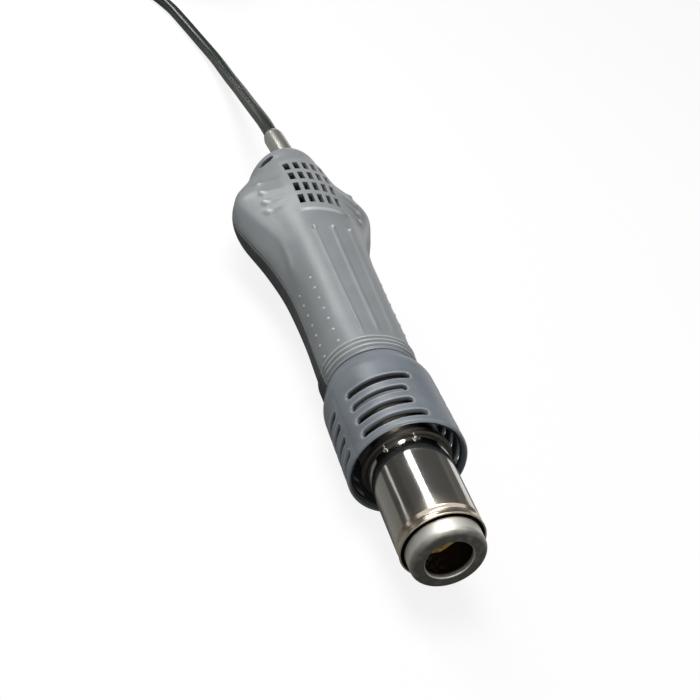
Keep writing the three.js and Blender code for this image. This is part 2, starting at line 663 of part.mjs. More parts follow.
function micaSleeve() {
  return ring(MICA_BORE_R, MICA_R, HEATER_FRONT_Y - 1, HEATER_BASE_Y, SLEEVE_SIDES)
}

function heaterCore() {
  const r = (MICA_BORE_R - GAP - COIL_WIRE_R) * Math.cos(22.5 * DEG) - COIL_WIRE_R - GAP
  const shape = new THREE.Shape()
  for (let arm = 0; arm < CORE_ARMS; arm++) {
    const middle = (arm / CORE_ARMS) * 360
    for (const [turn, reach] of [[-10, r], [10, r], [22, r * 0.45], [38, r * 0.45]]) {
      const angle = (middle + turn) * DEG
      const [x, z] = [reach * Math.cos(angle), reach * Math.sin(angle)]
      if (arm === 0 && turn === -10) shape.moveTo(x, z)
      else shape.lineTo(x, z)
    }
  }
  const length = HEATER_BASE_Y - HEATER_BASE_NOSE - GAP - HEATER_FRONT_Y
  const bar = new THREE.ExtrudeGeometry(shape, { depth: length, bevelEnabled: false }).rotateX(-90 * DEG)
  const core = solid(bar.translate(0, HEATER_FRONT_Y, 0))
  return core.subtract(rodY(PROBE_R + GAP, HEATER_FRONT_Y - CUT, HEATER_BASE_Y, 0, 0, TINY_SIDES))
}

// The heating wire, one unbroken helix on the core, with straight ends.
function heaterCoil() {
  const r = MICA_BORE_R - GAP - COIL_WIRE_R
  const from = HEATER_FRONT_Y + 3
  const to = HEATER_BASE_Y - 6
  const steps = COIL_TURNS * 8
  const points = []
  for (let i = 0; i <= steps; i++) {
    const angle = (i / 8) * 2 * Math.PI
    points.push(new THREE.Vector3(r * Math.cos(angle), from + ((to - from) * i) / steps, r * Math.sin(angle)))
  }
  return tube(points, COIL_WIRE_R, WIRE_SIDES)
}

function heaterBase() {
  const r = SPIGOT_BORE_R - GAP
  const end = HEATER_BASE_Y + HEATER_BASE_THICK
  const nose = HEATER_BASE_Y - HEATER_BASE_NOSE
  let base = turned([[0, nose], [MICA_BORE_R - GAP, nose], [MICA_BORE_R - GAP, HEATER_BASE_Y + GAP],
    [r, HEATER_BASE_Y + GAP], [r, end], [0, end]], MIDDLE_SIDES)
  for (let i = 0; i < CORE_ARMS; i++) {
    const angle = (i + 0.5) * (360 / CORE_ARMS) * DEG
    const [x, z] = [AIR_HOLE_CIRCLE_R * Math.cos(angle), AIR_HOLE_CIRCLE_R * Math.sin(angle)]
    base = base.subtract(rodY(AIR_HOLE_R, nose - CUT, end + CUT, x, z, TINY_SIDES))
  }
  return base.subtract(rodY(PROBE_R + GAP, nose - CUT, end - 1.5, 0, 0, TINY_SIDES))
}

function thermocouple() {
  const front = HEATER_FRONT_Y - 3
  return turned([[0, front], [PROBE_R * 0.7, front + 0.3], [PROBE_R, front + 1], [PROBE_R, HEATER_BASE_Y + 3],
    [0, HEATER_BASE_Y + 3]], SMALL_SIDES)
}

// The duct's outline at a place along the handle, from round at the heater to nearly square at the blower.
const DUCT_SIDE = [[71, DUCT_FRONT_R], [80, DUCT_FRONT_R], [92, 7.6], [125, 7.6],
  [140, MOUTH_HALF_WIDTH - 0.2], [DUCT_MOUTH_Y, MOUTH_HALF_WIDTH]]
const DUCT_HALF_HEIGHT = [[71, DUCT_FRONT_R], [80, DUCT_FRONT_R], [92, 7.4], [125, 6.8], [140, 5.6],
  [DUCT_MOUTH_Y, 5]]
const DUCT_SQUARENESS = [[71, 2], [125, 2.2], [DUCT_MOUTH_Y, 6]]

function ductBody(inset, from, to) {
  const rings = []
  const steps = 6
  for (let i = 0; i <= steps; i++) {
    const y = from + ((to - from) * i) / steps
    const power = through(DUCT_SQUARENESS, y)
    rings.push(Array.from({ length: DUCT_SIDES }, (_, j) => {
      const angle = (j / DUCT_SIDES) * 2 * Math.PI
      const [c, s] = [Math.cos(angle), Math.sin(angle)]
      const reach = (Math.abs(c) ** power + Math.abs(s) ** power) ** (-1 / power)
      const side = through(DUCT_SIDE, y) - inset
      const height = through(DUCT_HALF_HEIGHT, y) - inset
      return new THREE.Vector3(side * reach * c, y, height * reach * s)
    }))
  }
  return lofted(rings)
}

function airDuct() {
  const from = HEATER_BASE_Y + HEATER_BASE_THICK + GAP
  const to = DUCT_MOUTH_Y - GAP
  return ductBody(0, from, to).subtract(ductBody(DUCT_WALL, from - CUT, to + CUT))
}

const blowerFloorZ = BLOWER_BOTTOM_Z + BLOWER_WALL

function blowerCasing() {
  const wallTop = BLOWER_TOP_Z
  const mouthTop = BLOWER_TOP_Z - 0.6
  const mouthLow = [-MOUTH_HALF_WIDTH, DUCT_MOUTH_Y, BLOWER_BOTTOM_Z]
  const mouthEndY = BLOWER_Y - BLOWER_R / 2
  const mouth = block(mouthLow, [MOUTH_HALF_WIDTH, mouthEndY, mouthTop])
  let casing = rodZ(BLOWER_R, BLOWER_BOTTOM_Z, wallTop, 0, BLOWER_Y, LARGE_SIDES).add(mouth)
  for (const [x, y] of earPlaces) {
    casing = casing.add(rodZ(EAR_R, BLOWER_BOTTOM_Z, wallTop, x, y, SMALL_SIDES))
  }
  const chamber = rodZ(BLOWER_R - BLOWER_WALL, blowerFloorZ, wallTop + CUT, 0, BLOWER_Y, LARGE_SIDES)
  casing = casing.subtract(chamber)
  const inside = MOUTH_HALF_WIDTH - BLOWER_WALL
  const insideLow = [-inside, DUCT_MOUTH_Y - CUT, blowerFloorZ]
  casing = casing.subtract(block(insideLow, [inside, mouthEndY, mouthTop - BLOWER_WALL]))
  for (const [x, y] of earPlaces) {
    casing = casing.subtract(rodZ(BLOWER_SCREW_R + GAP, blowerFloorZ, wallTop + CUT, x, y, TINY_SIDES))
  }
  const bearing = rodZ(SHAFT_R + 0.05, BLOWER_BOTTOM_Z - CUT, blowerFloorZ + CUT, 0, BLOWER_Y, SMALL_SIDES)
  return casing.subtract(bearing)
}

function blowerCover() {
  const from = BLOWER_TOP_Z + GAP
  const to = from + COVER_THICK
  let cover = rodZ(BLOWER_R, from, to, 0, BLOWER_Y, LARGE_SIDES)
  for (const [x, y] of earPlaces) {
    cover = cover.add(rodZ(EAR_R, from, to, x, y, SMALL_SIDES))
    cover = cover.subtract(rodZ(BLOWER_SCREW_R + GAP, from - CUT, to + CUT, x, y, TINY_SIDES))
  }
  return cover.subtract(rodZ(INLET_R, from - CUT, to + CUT, 0, BLOWER_Y, MIDDLE_SIDES))
}

const PLATE_Z = blowerFloorZ + 0.6
const HUB_TOP_Z = 1.4

function blowerImpeller() {
  const hub = rodZ(HUB_R, PLATE_Z, HUB_TOP_Z, 0, BLOWER_Y, MIDDLE_SIDES)
  let wheel = rodZ(IMPELLER_R, PLATE_Z, PLATE_Z + IMPELLER_PLATE, 0, BLOWER_Y, MIDDLE_SIDES).add(hub)
  for (let i = 0; i < BLADES; i++) {
    const blade = block([HUB_R + BLADE_INSET, -BLADE_THICK / 2, PLATE_Z + 0.2],
      [IMPELLER_R - 0.15, BLADE_THICK / 2, BLOWER_TOP_Z - 0.6])
    wheel = wheel.add(blade.rotate([0, 0, (i / BLADES) * 360]).translate([0, BLOWER_Y, 0]))
  }
  const hollow = rodZ(HUB_R - HUB_WALL, PLATE_Z - CUT, HUB_TOP_Z - HUB_WALL, 0, BLOWER_Y, MIDDLE_SIDES)
  wheel = wheel.subtract(hollow)
  return wheel.subtract(rodZ(SHAFT_R + GAP, PLATE_Z, HUB_TOP_Z - 0.3, 0, BLOWER_Y, SMALL_SIDES))
}

function blowerShaft() {
  return rodZ(SHAFT_R, BLOWER_BOTTOM_Z + 0.3, HUB_TOP_Z - 0.6, 0, BLOWER_Y, SMALL_SIDES)
}

// Stator of the blower's motor: a round core with six wound poles, on a stem from the casing's floor.
function motorStator() {
  const [from, to] = [blowerFloorZ + GAP, HUB_TOP_Z - HUB_WALL - 1.2]
  const half = STATOR_POLE_WIDTH / 2
  let stator = rodZ(STATOR_CORE_R, from, to, 0, BLOWER_Y, SMALL_SIDES)
  for (let i = 0; i < STATOR_POLES; i++) {
    const pole = block([STATOR_CORE_R - 0.6, -half, from + 1], [HUB_R - HUB_WALL - 0.5, half, to])
    stator = stator.add(pole.rotate([0, 0, (i / STATOR_POLES) * 360]).translate([0, BLOWER_Y, 0]))
  }
  return stator.subtract(rodZ(SHAFT_R + GAP, from - CUT, to + CUT, 0, BLOWER_Y, SMALL_SIDES))
}

function blowerBoard() {
  const to = BLOWER_BOTTOM_Z - GAP
  return rodZ(BLOWER_BOARD_R, to - BLOWER_BOARD_THICK, to, 0, BLOWER_Y, MIDDLE_SIDES)
}

const coverTop = BLOWER_TOP_Z + GAP + COVER_THICK

function terminalBoard() {
  const half = BOARD_WIDTH / 2
  return block([-half, BOARD_Y, BOARD_Z], [half, BOARD_Y + BOARD_LENGTH, BOARD_Z + BOARD_THICK])
}

function reedSwitch() {
  const z = BOARD_Z + BOARD_THICK + GAP + REED_R
  const bar = new THREE.CapsuleGeometry(REED_R, REED_LENGTH - 2 * REED_R, 3, 10).rotateZ(90 * DEG)
  return solid(bar.translate(0, BOARD_Y + BOARD_LENGTH - 2, z))
}

// Leads from the heater's base, midway between the duct and the spigot's bore, then under the duct and the
// blower, up to the terminal board. They start at an angle from straight down.
function heaterLead(x, angle) {
  const base = HEATER_BASE_Y + HEATER_BASE_THICK + GAP
  const startR = (DUCT_FRONT_R + SPIGOT_BORE_R) / 2
  const [startX, startZ] = [startR * Math.sin(angle * DEG), -startR * Math.cos(angle * DEG)]
  const end = BOARD_Z - GAP
  const low = BLOWER_BOTTOM_Z - 3.6
  const upY = BOARD_Y + 1.8
  const points = [[startX, base, startZ], [startX, base + 2, startZ], [x, base + 13, -9.3], [x, 120, -9.2],
    [x, 148, low], [x, upY - 9, low], [x, upY - 1.5, end - 4], [x, upY, end - 1], [x, upY, end]]
  return tube(route(points, 8), WIRE_R, WIRE_SIDES)
}

function blowerLead() {
  const start = BLOWER_BOTTOM_Z - GAP - BLOWER_BOARD_THICK - GAP
  const end = BOARD_Z - GAP
  const [x, upY] = [3.2, BOARD_Y + 2.2]
  const points = [[1.6, BLOWER_Y, start], [1.6, BLOWER_Y, start - 0.8], [2, BLOWER_Y + 3, start - 2],
    [x, upY - 9.4, start - 2], [x, upY - 1.4, end - 4], [x, upY, end - 1], [x, upY, end]]
  return tube(route(points, 4), WIRE_R, WIRE_SIDES)
}

function cordStub() {
  const [from, to] = [CLAMP_Y - 4, FERRULE_FROM - GAP]
  return onExit([[0, from], [CORD_R, from], [CORD_R, to], [0, to]], SMALL_SIDES)
}

function cableClamp() {
  const half = CLAMP_SCREW_X + 2
  const bottom = CLAMP_TOP_Z - CLAMP_THICK
  const low = [-half, CLAMP_Y - CLAMP_WIDTH / 2, bottom]
  let bar = block(low, [half, CLAMP_Y + CLAMP_WIDTH / 2, CLAMP_TOP_Z - 0.1])
  for (const sign of [-1, 1]) {
    const x = sign * CLAMP_SCREW_X
    bar = bar.subtract(rodZ(BLOWER_SCREW_R + GAP, bottom - CUT, CLAMP_TOP_Z + CUT, x, CLAMP_Y, TINY_SIDES))
  }
  return bar
}

// Nickel sleeve on the cord's exit: a lip inside the shell, a straight tube and a coned end.
function cordFerrule() {
  const bore = CORD_R + GAP
  return onExit([[bore, FERRULE_FROM], [FERRULE_R, FERRULE_FROM], [FERRULE_R, FERRULE_TO - FERRULE_CONE],
    [bore + 0.35, FERRULE_TO], [bore, FERRULE_TO], [bore, FERRULE_FROM]], MIDDLE_SIDES)
}

// The cord's route where it isn't coiled, by hand: out of the sleeve, down to the floor, to the coil.
const CORD_ON_FLOOR_Z = FLOOR_Z + CORD_R
const coilZ = CORD_ON_FLOOR_Z + COIL_LIFT
const LEAD_ROUTE = [
  [0, FERRULE_TO + GAP, exitZ(FERRULE_TO + GAP)], [0.3, 229, 7.1], [0.8, 238, 5.7], [1.5, 250.6, 3.2],
  [2.9, 268.6, -0.8], [4.7, 293, -6], [5.4, 314, -10], [4.7, 341.5, -13.4], [2, 362.7, -15],
  [-3.1, 387.4, CORD_ON_FLOOR_Z],
  [-6.7, 401.7, CORD_ON_FLOOR_Z], [-10.8, 412, CORD_ON_FLOOR_Z], [-16.5, 424, CORD_ON_FLOOR_Z],
  [-21, 436, CORD_ON_FLOOR_Z + 0.3], [-23.6, 449, coilZ - 0.1], [COIL_X - COIL_R, COIL_Y - 6, coilZ],
  [COIL_X - COIL_R, COIL_Y - GAP, coilZ],
]

// Points of the coil, clockwise from its left: in for half its loops on one layer, up, and out on the next.
function coilPoints() {
  const points = []
  const stepsPerLoop = 24
  const count = Math.round(COIL_LOOPS * stepsPerLoop)
  for (let i = 0; i <= count; i++) {
    const loops = i / stepsPerLoop
    const fromTurnBack = Math.abs(loops - COIL_LOOPS / 2)
    const climb = THREE.MathUtils.smoothstep(loops - COIL_LOOPS / 2, -0.25, 0.25)
    const r = COIL_R - COIL_PITCH * (COIL_LOOPS / 2 - fromTurnBack)
    const angle = Math.PI - loops * 2 * Math.PI
    const [x, y] = [COIL_X + r * Math.cos(angle), COIL_Y + r * Math.sin(angle)]
    points.push(new THREE.Vector3(x, y, coilZ + COIL_LAYER * climb))
  }
  return points
}

// The least gap between two stretches of the coil that are more than half a loop apart.
function coilSelfGap(points) {
  let least = Infinity
  for (let i = 0; i < points.length; i++) {
    for (let j = i + 12; j < points.length; j++) least = Math.min(least, points[i].distanceTo(points[j]))
  }
  return least - 2 * CORD_R
}

// The coil's own tube starts and ends with a straight step of one diameter.
function cordCoil() {
  const points = coilPoints()
  const straight = 2 * CORD_R
  points.splice(1, 1, points[0].clone().add(new THREE.Vector3(0, straight, 0)))
  points.push(points.at(-1).clone().add(new THREE.Vector3(straight, 0, 0)))
  console.log(`cord_coil: least gap to itself ${coilSelfGap(coilPoints()).toFixed(2)} mm`)
  return tube(points, CORD_R, COIL_SIDES)
}

// The tail climbs on to the coil's outer turn, bends in over it and ends in the connector, which lies on top.
const coilEnd = coilPoints().at(-1)
const plugZ = coilEnd.z + CORD_R + GAP + PLUG_R
const plugY = COIL_Y - 2
const plugBackX = COIL_X - 1
const TAIL_ROUTE = [
  [coilEnd.x + 2 * CORD_R + GAP, coilEnd.y, coilEnd.z], [COIL_X + 9, coilEnd.y, coilEnd.z],
  [COIL_X + 14.5, coilEnd.y - 1.6, coilEnd.z + 0.8], [COIL_X + 21.5, coilEnd.y - 6, coilEnd.z + 3.2],
  [COIL_X + 27.5, coilEnd.y - 13, coilEnd.z + 7],
  [COIL_X + 30, COIL_Y + 14, plugZ - 2.7], [COIL_X + 26.5, COIL_Y + 4.5, plugZ - 0.7],
  [COIL_X + 17, plugY + 0.5, plugZ], [plugBackX + 6, plugY, plugZ], [plugBackX + GAP, plugY, plugZ],
]

// A flat band round the coil's turns, thin enough to pass under them.
function cordTie() {
  const inner = COIL_R - COIL_PITCH * (COIL_LOOPS / 2) - CORD_R - GAP
  const outer = COIL_R + CORD_R + GAP
  const [low, high] = [coilZ - CORD_R - GAP, coilZ + COIL_LAYER + CORD_R + GAP]
  const y = [COIL_Y - TIE_WIDTH / 2, COIL_Y + TIE_WIDTH / 2]
  const bandLow = [COIL_X + inner - TIE_THICK, y[0], low - TIE_THICK]
  const band = block(bandLow, [COIL_X + outer + TIE_THICK, y[1], high + TIE_THICK])
  return band.subtract(block([COIL_X + inner, y[0] - CUT, low], [COIL_X + outer, y[1] + CUT, high]))
}

// The connector's axis runs along X; its pieces are turned about Y and laid over.
const layPlug = (shape) => shape.rotate([0, 0, 90]).translate([plugBackX, plugY, plugZ])
const plugEnd = PLUG_BACK_LENGTH + GAP + PLUG_RING_LENGTH
const insertFace = plugEnd - PLUG_MOUTH - PIN_LENGTH

function plugBody() {
  const noseR = PLUG_SLEEVE_R - 2
  const noseEnd = PLUG_BACK_LENGTH + PLUG_NOSE
  const outside = [[CORD_R + GAP, 0], [CORD_R + 1.4, 0], [CORD_R + 1.9, 1], [CORD_R + 1.9, 5],
    [PLUG_SLEEVE_R - 1, 6], [PLUG_SLEEVE_R, 7.5], [PLUG_SLEEVE_R, PLUG_BACK_LENGTH],
    [noseR, PLUG_BACK_LENGTH], [noseR, noseEnd]]
  const inside = [[noseR - 1, noseEnd], [noseR - 1, 9], [CORD_R + GAP, 8], [CORD_R + GAP, 0]]
  return layPlug(turned([...outside, ...inside], DUCT_SIDES))
}

function plugRing() {
  const from = PLUG_BACK_LENGTH + GAP
  const bore = PLUG_R - PLUG_RING_WALL
  const shape = new THREE.Shape()
  for (let i = 0; i < PLUG_GRIPS * 2; i++) {
    const angle = (i / PLUG_GRIPS) * Math.PI
    const r = PLUG_R - (i % 2) * PLUG_GRIP_DEPTH
    if (i === 0) shape.moveTo(r, 0)
    else shape.lineTo(r * Math.cos(angle), r * Math.sin(angle))
  }
  const grip = new THREE.ExtrudeGeometry(shape, { depth: PLUG_RING_LENGTH - 2, bevelEnabled: false })
  const sleeve = ring(bore, PLUG_R - PLUG_GRIP_DEPTH - 0.2, from, plugEnd, MIDDLE_SIDES)
  let body = solid(grip.rotateX(-90 * DEG).translate(0, from + 1, 0)).add(sleeve)
  body = body.subtract(rodY(bore, from + 1.2, plugEnd + CUT))
  return layPlug(body.subtract(rodY(PLUG_SLEEVE_R - 1.6, from - CUT, plugEnd)))
}

function plugInsert() {
  const from = PLUG_BACK_LENGTH + PLUG_NOSE + GAP
  const r = PLUG_R - PLUG_RING_WALL - 0.5
  return layPlug(turned([[0, from], [r, from], [r, insertFace], [0, insertFace]], MIDDLE_SIDES))
}

function plugPin(index) {
  const angle = (index / PINS) * 2 * Math.PI
  const [x, z] = [PIN_CIRCLE_R * Math.cos(angle), PIN_CIRCLE_R * Math.sin(angle)]
  const pin = turned([[0, insertFace + GAP], [PIN_R, insertFace + GAP],
    [PIN_R, insertFace + PIN_LENGTH - 0.6], [0, insertFace + PIN_LENGTH]], TINY_SIDES)
  return layPlug(pin.translate([x, 0, z]))
}

const handset = new THREE.Group()
handset.add(
  mesh('nozzle_tip', STEEL, nozzleTip()),
  mesh('barrel_tube', STEEL, barrelTube()),
  mesh('barrel_collar', NICKEL, barrelCollar()),
  ...barrelScrewPlaces.map((place, i) => mesh(`barrel_screw_${i + 1}`, SCREW_STEEL, barrelScrew(place))),
  mesh('mica_sleeve', MICA, micaSleeve()),
  mesh('heater_core', CERAMIC, heaterCore()),
  mesh('heater_coil', HEAT_WIRE, heaterCoil()),
  mesh('heater_base', CERAMIC, heaterBase()),
  mesh('thermocouple', STEEL, thermocouple()),
  mesh('front_guard', GREY_PLASTIC, frontGuard()),
  mesh('upper_shell', GREY_PLASTIC, upperShell()),
  mesh('lower_shell', GREY_PLASTIC, lowerShell()),
  ...shellScrews.map(({ x, y, headZ, topZ }, i) => {
    const shape = screw(SHELL_SCREW_R, SHELL_SCREW_HEAD_R, SHELL_SCREW_HEAD_LENGTH, topZ - headZ + GAP)
    return mesh(`shell_screw_${i + 1}`, SCREW_STEEL, uprightScrew(shape, x, y, headZ - GAP, true))
  }),
  mesh('air_duct', BLACK_PLASTIC, airDuct()),
  mesh('blower_casing', BLACK_PLASTIC, blowerCasing()),
  mesh('blower_cover', BLACK_PLASTIC, blowerCover()),
  mesh('blower_impeller', BLACK_PLASTIC, blowerImpeller()),
  mesh('blower_shaft', STEEL, blowerShaft()),
  mesh('motor_stator', COPPER, motorStator()),
  mesh('blower_board', BOARD_GREEN, blowerBoard()),
  ...earPlaces.map(([x, y], i) => {
    const shape = screw(BLOWER_SCREW_R, BLOWER_SCREW_HEAD_R, BLOWER_SCREW_HEAD_LENGTH, BLOWER_SCREW_LENGTH)
    return mesh(`blower_screw_${i + 1}`, SCREW_STEEL, uprightScrew(shape, x, y, coverTop + GAP, false))
  }),
  mesh('terminal_board', BOARD_GREEN, terminalBoard()),
  mesh('reed_switch', GLASS_GREEN, reedSwitch()),
  mesh('heater_lead_1', WIRE_RED, heaterLead(-5, -LEAD_ANGLE)),
  mesh('heater_lead_2', WIRE_RED, heaterLead(5, LEAD_ANGLE)),
  mesh('sensor_lead', WIRE_WHITE, heaterLead(-3, 0)),
  mesh('blower_lead', WIRE_WHITE, blowerLead()),
  mesh('cable_clamp', BLACK_PLASTIC, cableClamp()),
  ...[-1, 1].map((sign, i) => {
    const shape = screw(BLOWER_SCREW_R, BLOWER_SCREW_HEAD_R, BLOWER_SCREW_HEAD_LENGTH, CLAMP_SCREW_LENGTH)
    const z = CLAMP_TOP_Z - CLAMP_THICK - GAP
    const placed = uprightScrew(shape, sign * CLAMP_SCREW_X, CLAMP_Y, z, true)
    return mesh(`clamp_screw_${i + 1}`, SCREW_STEEL, placed)
  }),
  mesh('cord_stub', CORD_BLACK, cordStub()),
  mesh('cord_ferrule', NICKEL, cordFerrule()),
)

// The handset alone decides where the origin lies; the cord and what is on it follow.
handset.updateMatrixWorld(true)
const reach = new THREE.Box3().setFromObject(handset)
handset.add(
  mesh('cord_lead', CORD_BLACK, tube(route(LEAD_ROUTE, 2 * CORD_R * 2.2), CORD_R, CORD_SIDES)),
  mesh('cord_coil', CORD_BLACK, cordCoil()),
  mesh('cord_tail', CORD_BLACK, tube(route(TAIL_ROUTE, 2 * CORD_R), CORD_R, CORD_SIDES)),
  mesh('cord_tie', BLACK_PLASTIC, cordTie()),
  mesh('connector_body', NICKEL, plugBody()),
  mesh('connector_ring', NICKEL, plugRing()),
  mesh('connector_insert', BLACK_PLASTIC, plugInsert()),
  ...Array.from({ length: PINS }, (_, i) => mesh(`connector_pin_${i + 1}`, NICKEL, plugPin(i))),
)
handset.position.set(0, -(reach.min.y + reach.max.y) / 2, -reach.min.z)

export default handset
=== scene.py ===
"""Looks of a hot air rework handset and its cord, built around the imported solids.

Shapes are worked out in millimetres along the handset: y runs from the tip's face to the cord, z from the
barrel's axis up to the vent grid, x to the right seen from the tip. place() turns them into frame metres.
"""

import json

import bpy
import numpy as np
from mathutils import Matrix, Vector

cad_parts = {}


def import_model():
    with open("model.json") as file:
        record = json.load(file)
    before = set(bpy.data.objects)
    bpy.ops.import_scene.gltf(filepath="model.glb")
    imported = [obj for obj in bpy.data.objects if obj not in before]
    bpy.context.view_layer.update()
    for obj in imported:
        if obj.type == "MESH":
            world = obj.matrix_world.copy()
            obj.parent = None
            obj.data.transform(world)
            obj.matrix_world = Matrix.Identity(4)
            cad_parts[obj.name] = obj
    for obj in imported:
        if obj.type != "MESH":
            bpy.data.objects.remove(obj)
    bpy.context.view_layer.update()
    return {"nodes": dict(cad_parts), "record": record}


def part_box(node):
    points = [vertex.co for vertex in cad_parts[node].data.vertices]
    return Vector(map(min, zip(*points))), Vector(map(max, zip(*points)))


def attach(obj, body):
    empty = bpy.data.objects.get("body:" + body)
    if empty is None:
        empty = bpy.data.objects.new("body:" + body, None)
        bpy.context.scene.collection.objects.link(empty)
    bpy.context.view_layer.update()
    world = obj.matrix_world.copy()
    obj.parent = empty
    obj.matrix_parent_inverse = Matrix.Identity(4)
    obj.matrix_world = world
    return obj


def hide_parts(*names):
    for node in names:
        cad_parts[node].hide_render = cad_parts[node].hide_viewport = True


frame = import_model()

# Units, and the frame's place of the tip's face and the barrel's axis
MM = 0.001
tip_low, tip_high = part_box("nozzle_tip")
ORIGIN = np.array([0.0, tip_low.y, (tip_low.z + tip_high.z) / 2])


def place(points):
    """Handset millimetres as metres in the frame: scaled, then moved to the tip's face and axis."""
    return np.asarray(points, float) * MM + ORIGIN


def span(node):
    """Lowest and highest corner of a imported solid, in handset millimetres."""
    low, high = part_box(node)
    return (np.array(low) - ORIGIN) / MM, (np.array(high) - ORIGIN) / MM


def extent(node):
    """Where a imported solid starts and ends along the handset, and how far it reaches to the right."""
    low, high = span(node)
    return low[1], high[1], high[0]


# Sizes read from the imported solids
_, TIP_END_Y, TIP_R = extent("nozzle_tip")
BARREL_Y, BARREL_END_Y, _ = extent("barrel_tube")
COLLAR_Y, COLLAR_END_Y, COLLAR_R = extent("barrel_collar")
MICA_Y, MICA_END_Y, MICA_R = extent("mica_sleeve")
GUARD_Y, GUARD_END_Y, GUARD_R = extent("front_guard")
SPIGOT_Y, HANDLE_END_Y, _ = extent("upper_shell")
COIL_LOW_Y, COIL_HIGH_Y, _ = extent("heater_coil")
FERRULE_FROM, FERRULE_TO, _ = extent("cord_ferrule")
FLOOR_Z = span("lower_shell")[0][2]
PLUG_X = span("connector_body")[1][0]

# Angles between faces: past the first a smooth skin creases, and past the second an edge is rounded
CREASE_ANGLE = np.radians(35)
BEVEL_ANGLE = np.radians(65)

# Sizes that the solids' boxes don't give
GAP = 0.3
BARREL_R = 12.4
BARREL_WALL = 0.6
BEAD_Y = 8
BEAD_DEPTH = 0.5
TIP_HOLE_R = 6.9
TIP_EDGE = 1.5
TIP_WALL = 0.4
GUARD_RIM = 0.9
GUARD_WALL = 1.85
SPIGOT_R = 13.2
SPIGOT_WALL = 2.3
HANDLE_Y = GUARD_END_Y + GAP
SHELL_WALL = 2.2
DOME_Y = 189.5
DOME_POWER = 2.3
BLEND_POWER = 7
SCREW_CIRCLE_R = 14.2
BOSS_R = 1.6
BARREL_SCREW_ANGLES = [75, 195, 315]

# Handle outline: half width of the spine, height of its crest, depth of its belly, the two side lobes'
# reach and half height, how far their long axes turn up from the parting line in degrees, and the power
# of the oval over the crest, each as stations [y, value]
SPINE_SIDE = [[73, 15.1], [84, 15.3], [100, 14.9], [116, 15.1], [130, 15.5], [150, 17], [175, 16.6],
              [190, 14]]
CREST = [[73, 15.1], [100, 15.6], [125, 16.5], [150, 17.4], [175, 18], [190, 17.4]]
BELLY = [[73, 15.1], [95, 14.4], [120, 15.1], [150, 17.9], [168, 19], [180, 18], [190, 15.5]]
LOBE_SIDE = [[73, 8], [110, 9], [124, 13.5], [130, 15.4], [137, 17.4], [144, 20], [150, 22.4], [158, 25.2],
             [166, 26.5], [174, 24.4], [182, 20.9], [188, 17.2], [196, 10.5]]
LOBE_HEIGHT = [[73, 5], [116, 7], [144, 11], [166, 13.8], [182, 9.5], [196, 6.2]]
LOBE_TILT = [[73, 0], [125, 0], [144, -1.5], [158, 0.3], [172, 8.8], [186, 1], [200, 0]]
CREST_POWER = [[73, 2], [90, 2.5], [110, 2.7], [130, 2.65], [155, 2.2], [180, 2.1], [200, 2]]

# Moulded details of the handle
RING_YS = [75, 76.9, 78.6]
RING_HALF = 0.85
RING_HEIGHT = 0.75
RINGS_END_Y = 80
STRIP_FROM_Y = 79.5
STRIP_TO_Y = 140
STRIP_PITCH_FRONT = 5.3
STRIP_PITCH_BACK = 6.5
STRIP_HEIGHT = 0.4
KNOB_HEIGHT = 0.6
VENT_XS = (np.arange(5) - 2) * 3.4
VENT_YS = 156.4 + np.arange(4) * 7.7
VENT_WIDTH = 1.9
VENT_LENGTH = 5.2
PAD_Y = 150
PAD_END_Y = 190
PAD_HEIGHT = 0.45
PAD_HALF = 8
FINGERS = [(156.2, 149), (160.8, 147.5), (165.8, 146), (172.4, 146.5)]
FINGER_HALF = 1.1
FINGER_HEIGHT = 0.35
FINGER_KNOB_HEIGHT = 0.65
SHOULDER_LINE = [[118, 156], [124, 155], [132, 151], [140, 150], [147, 154], [155, 159], [164, 162],
                 [172, 163]]
SHOULDER_RISE = (116, 128)
SHOULDER_FALL = (176, 164)
SHOULDER_HEIGHT = 0.5
REAR_SLOT_X = 10.4
REAR_SLOT_Y = 192
REAR_SLOT_HALF = 2
REAR_SLOT_R = 1.5
DIMPLE = (-0.5, 190.6)
DIMPLE_R = 0.8
DIMPLE_DEPTH = 0.45
DOT_ROWS = [(165, 81.3, 113.5), (140, 81.8, 114.9)]
DOTS_PER_ROW = 7
DOT_R = 0.65
DOT_HEIGHT = 0.28
SCREW_WELLS = [(-10.4, 95, -7.4), (10.4, 95, -7.4), (-20.2, 163, -4.2), (20.2, 163, -4.2)]
WELL_R = 2.2

# Slots of the guard
SLOT_WIDTH = 2.6
SLOT_YS = 39.8 + np.arange(4) * 5.6
SLOT_SPAN = 68
SLOT_GROUP_ANGLES = [16, 120, 207, 292]
SHORT_SLOT_GROUP = 120
SHORT_SLOT_ROWS = (1, 2)
SHORT_SLOT_LOSS = 9

# The cord: its exit's straight axis, and its route on the floor, repeated from the solids
CORD_R = 2.8
EXIT_Y = 207
EXIT_Z = 9.3
EXIT_FALL = 0.0945
EXIT_TILT = -np.arctan(EXIT_FALL)
EXIT_HOLE_R = 4.15
ON_FLOOR_Z = FLOOR_Z + CORD_R
COIL_Z = ON_FLOOR_Z + 1
COIL_X = 11
COIL_Y = 467
COIL_R = 35
COIL_LOOPS = 4.25
COIL_PITCH = 6.2
COIL_LAYER = 6.2
PLUG_R = 9.3
PLUG_Y = COIL_Y - 2
PLUG_Z = COIL_Z + COIL_LAYER + CORD_R + GAP + PLUG_R
PINS = 5
PIN_CIRCLE_R = 3.6


def exit_z(y):
    """Height of the cord's straight axis at y: a line that falls evenly to the rear."""
    return EXIT_Z - EXIT_FALL * (y - EXIT_Y)


# Mesh building


def smooth(value, low, high):
    """0 below low, 1 above high, and the cubic 3t^2 - 2t^3 between; low may be the larger one."""
    t = np.clip((value - low) / (high - low), 0, 1)
    return t * t * (3 - 2 * t)


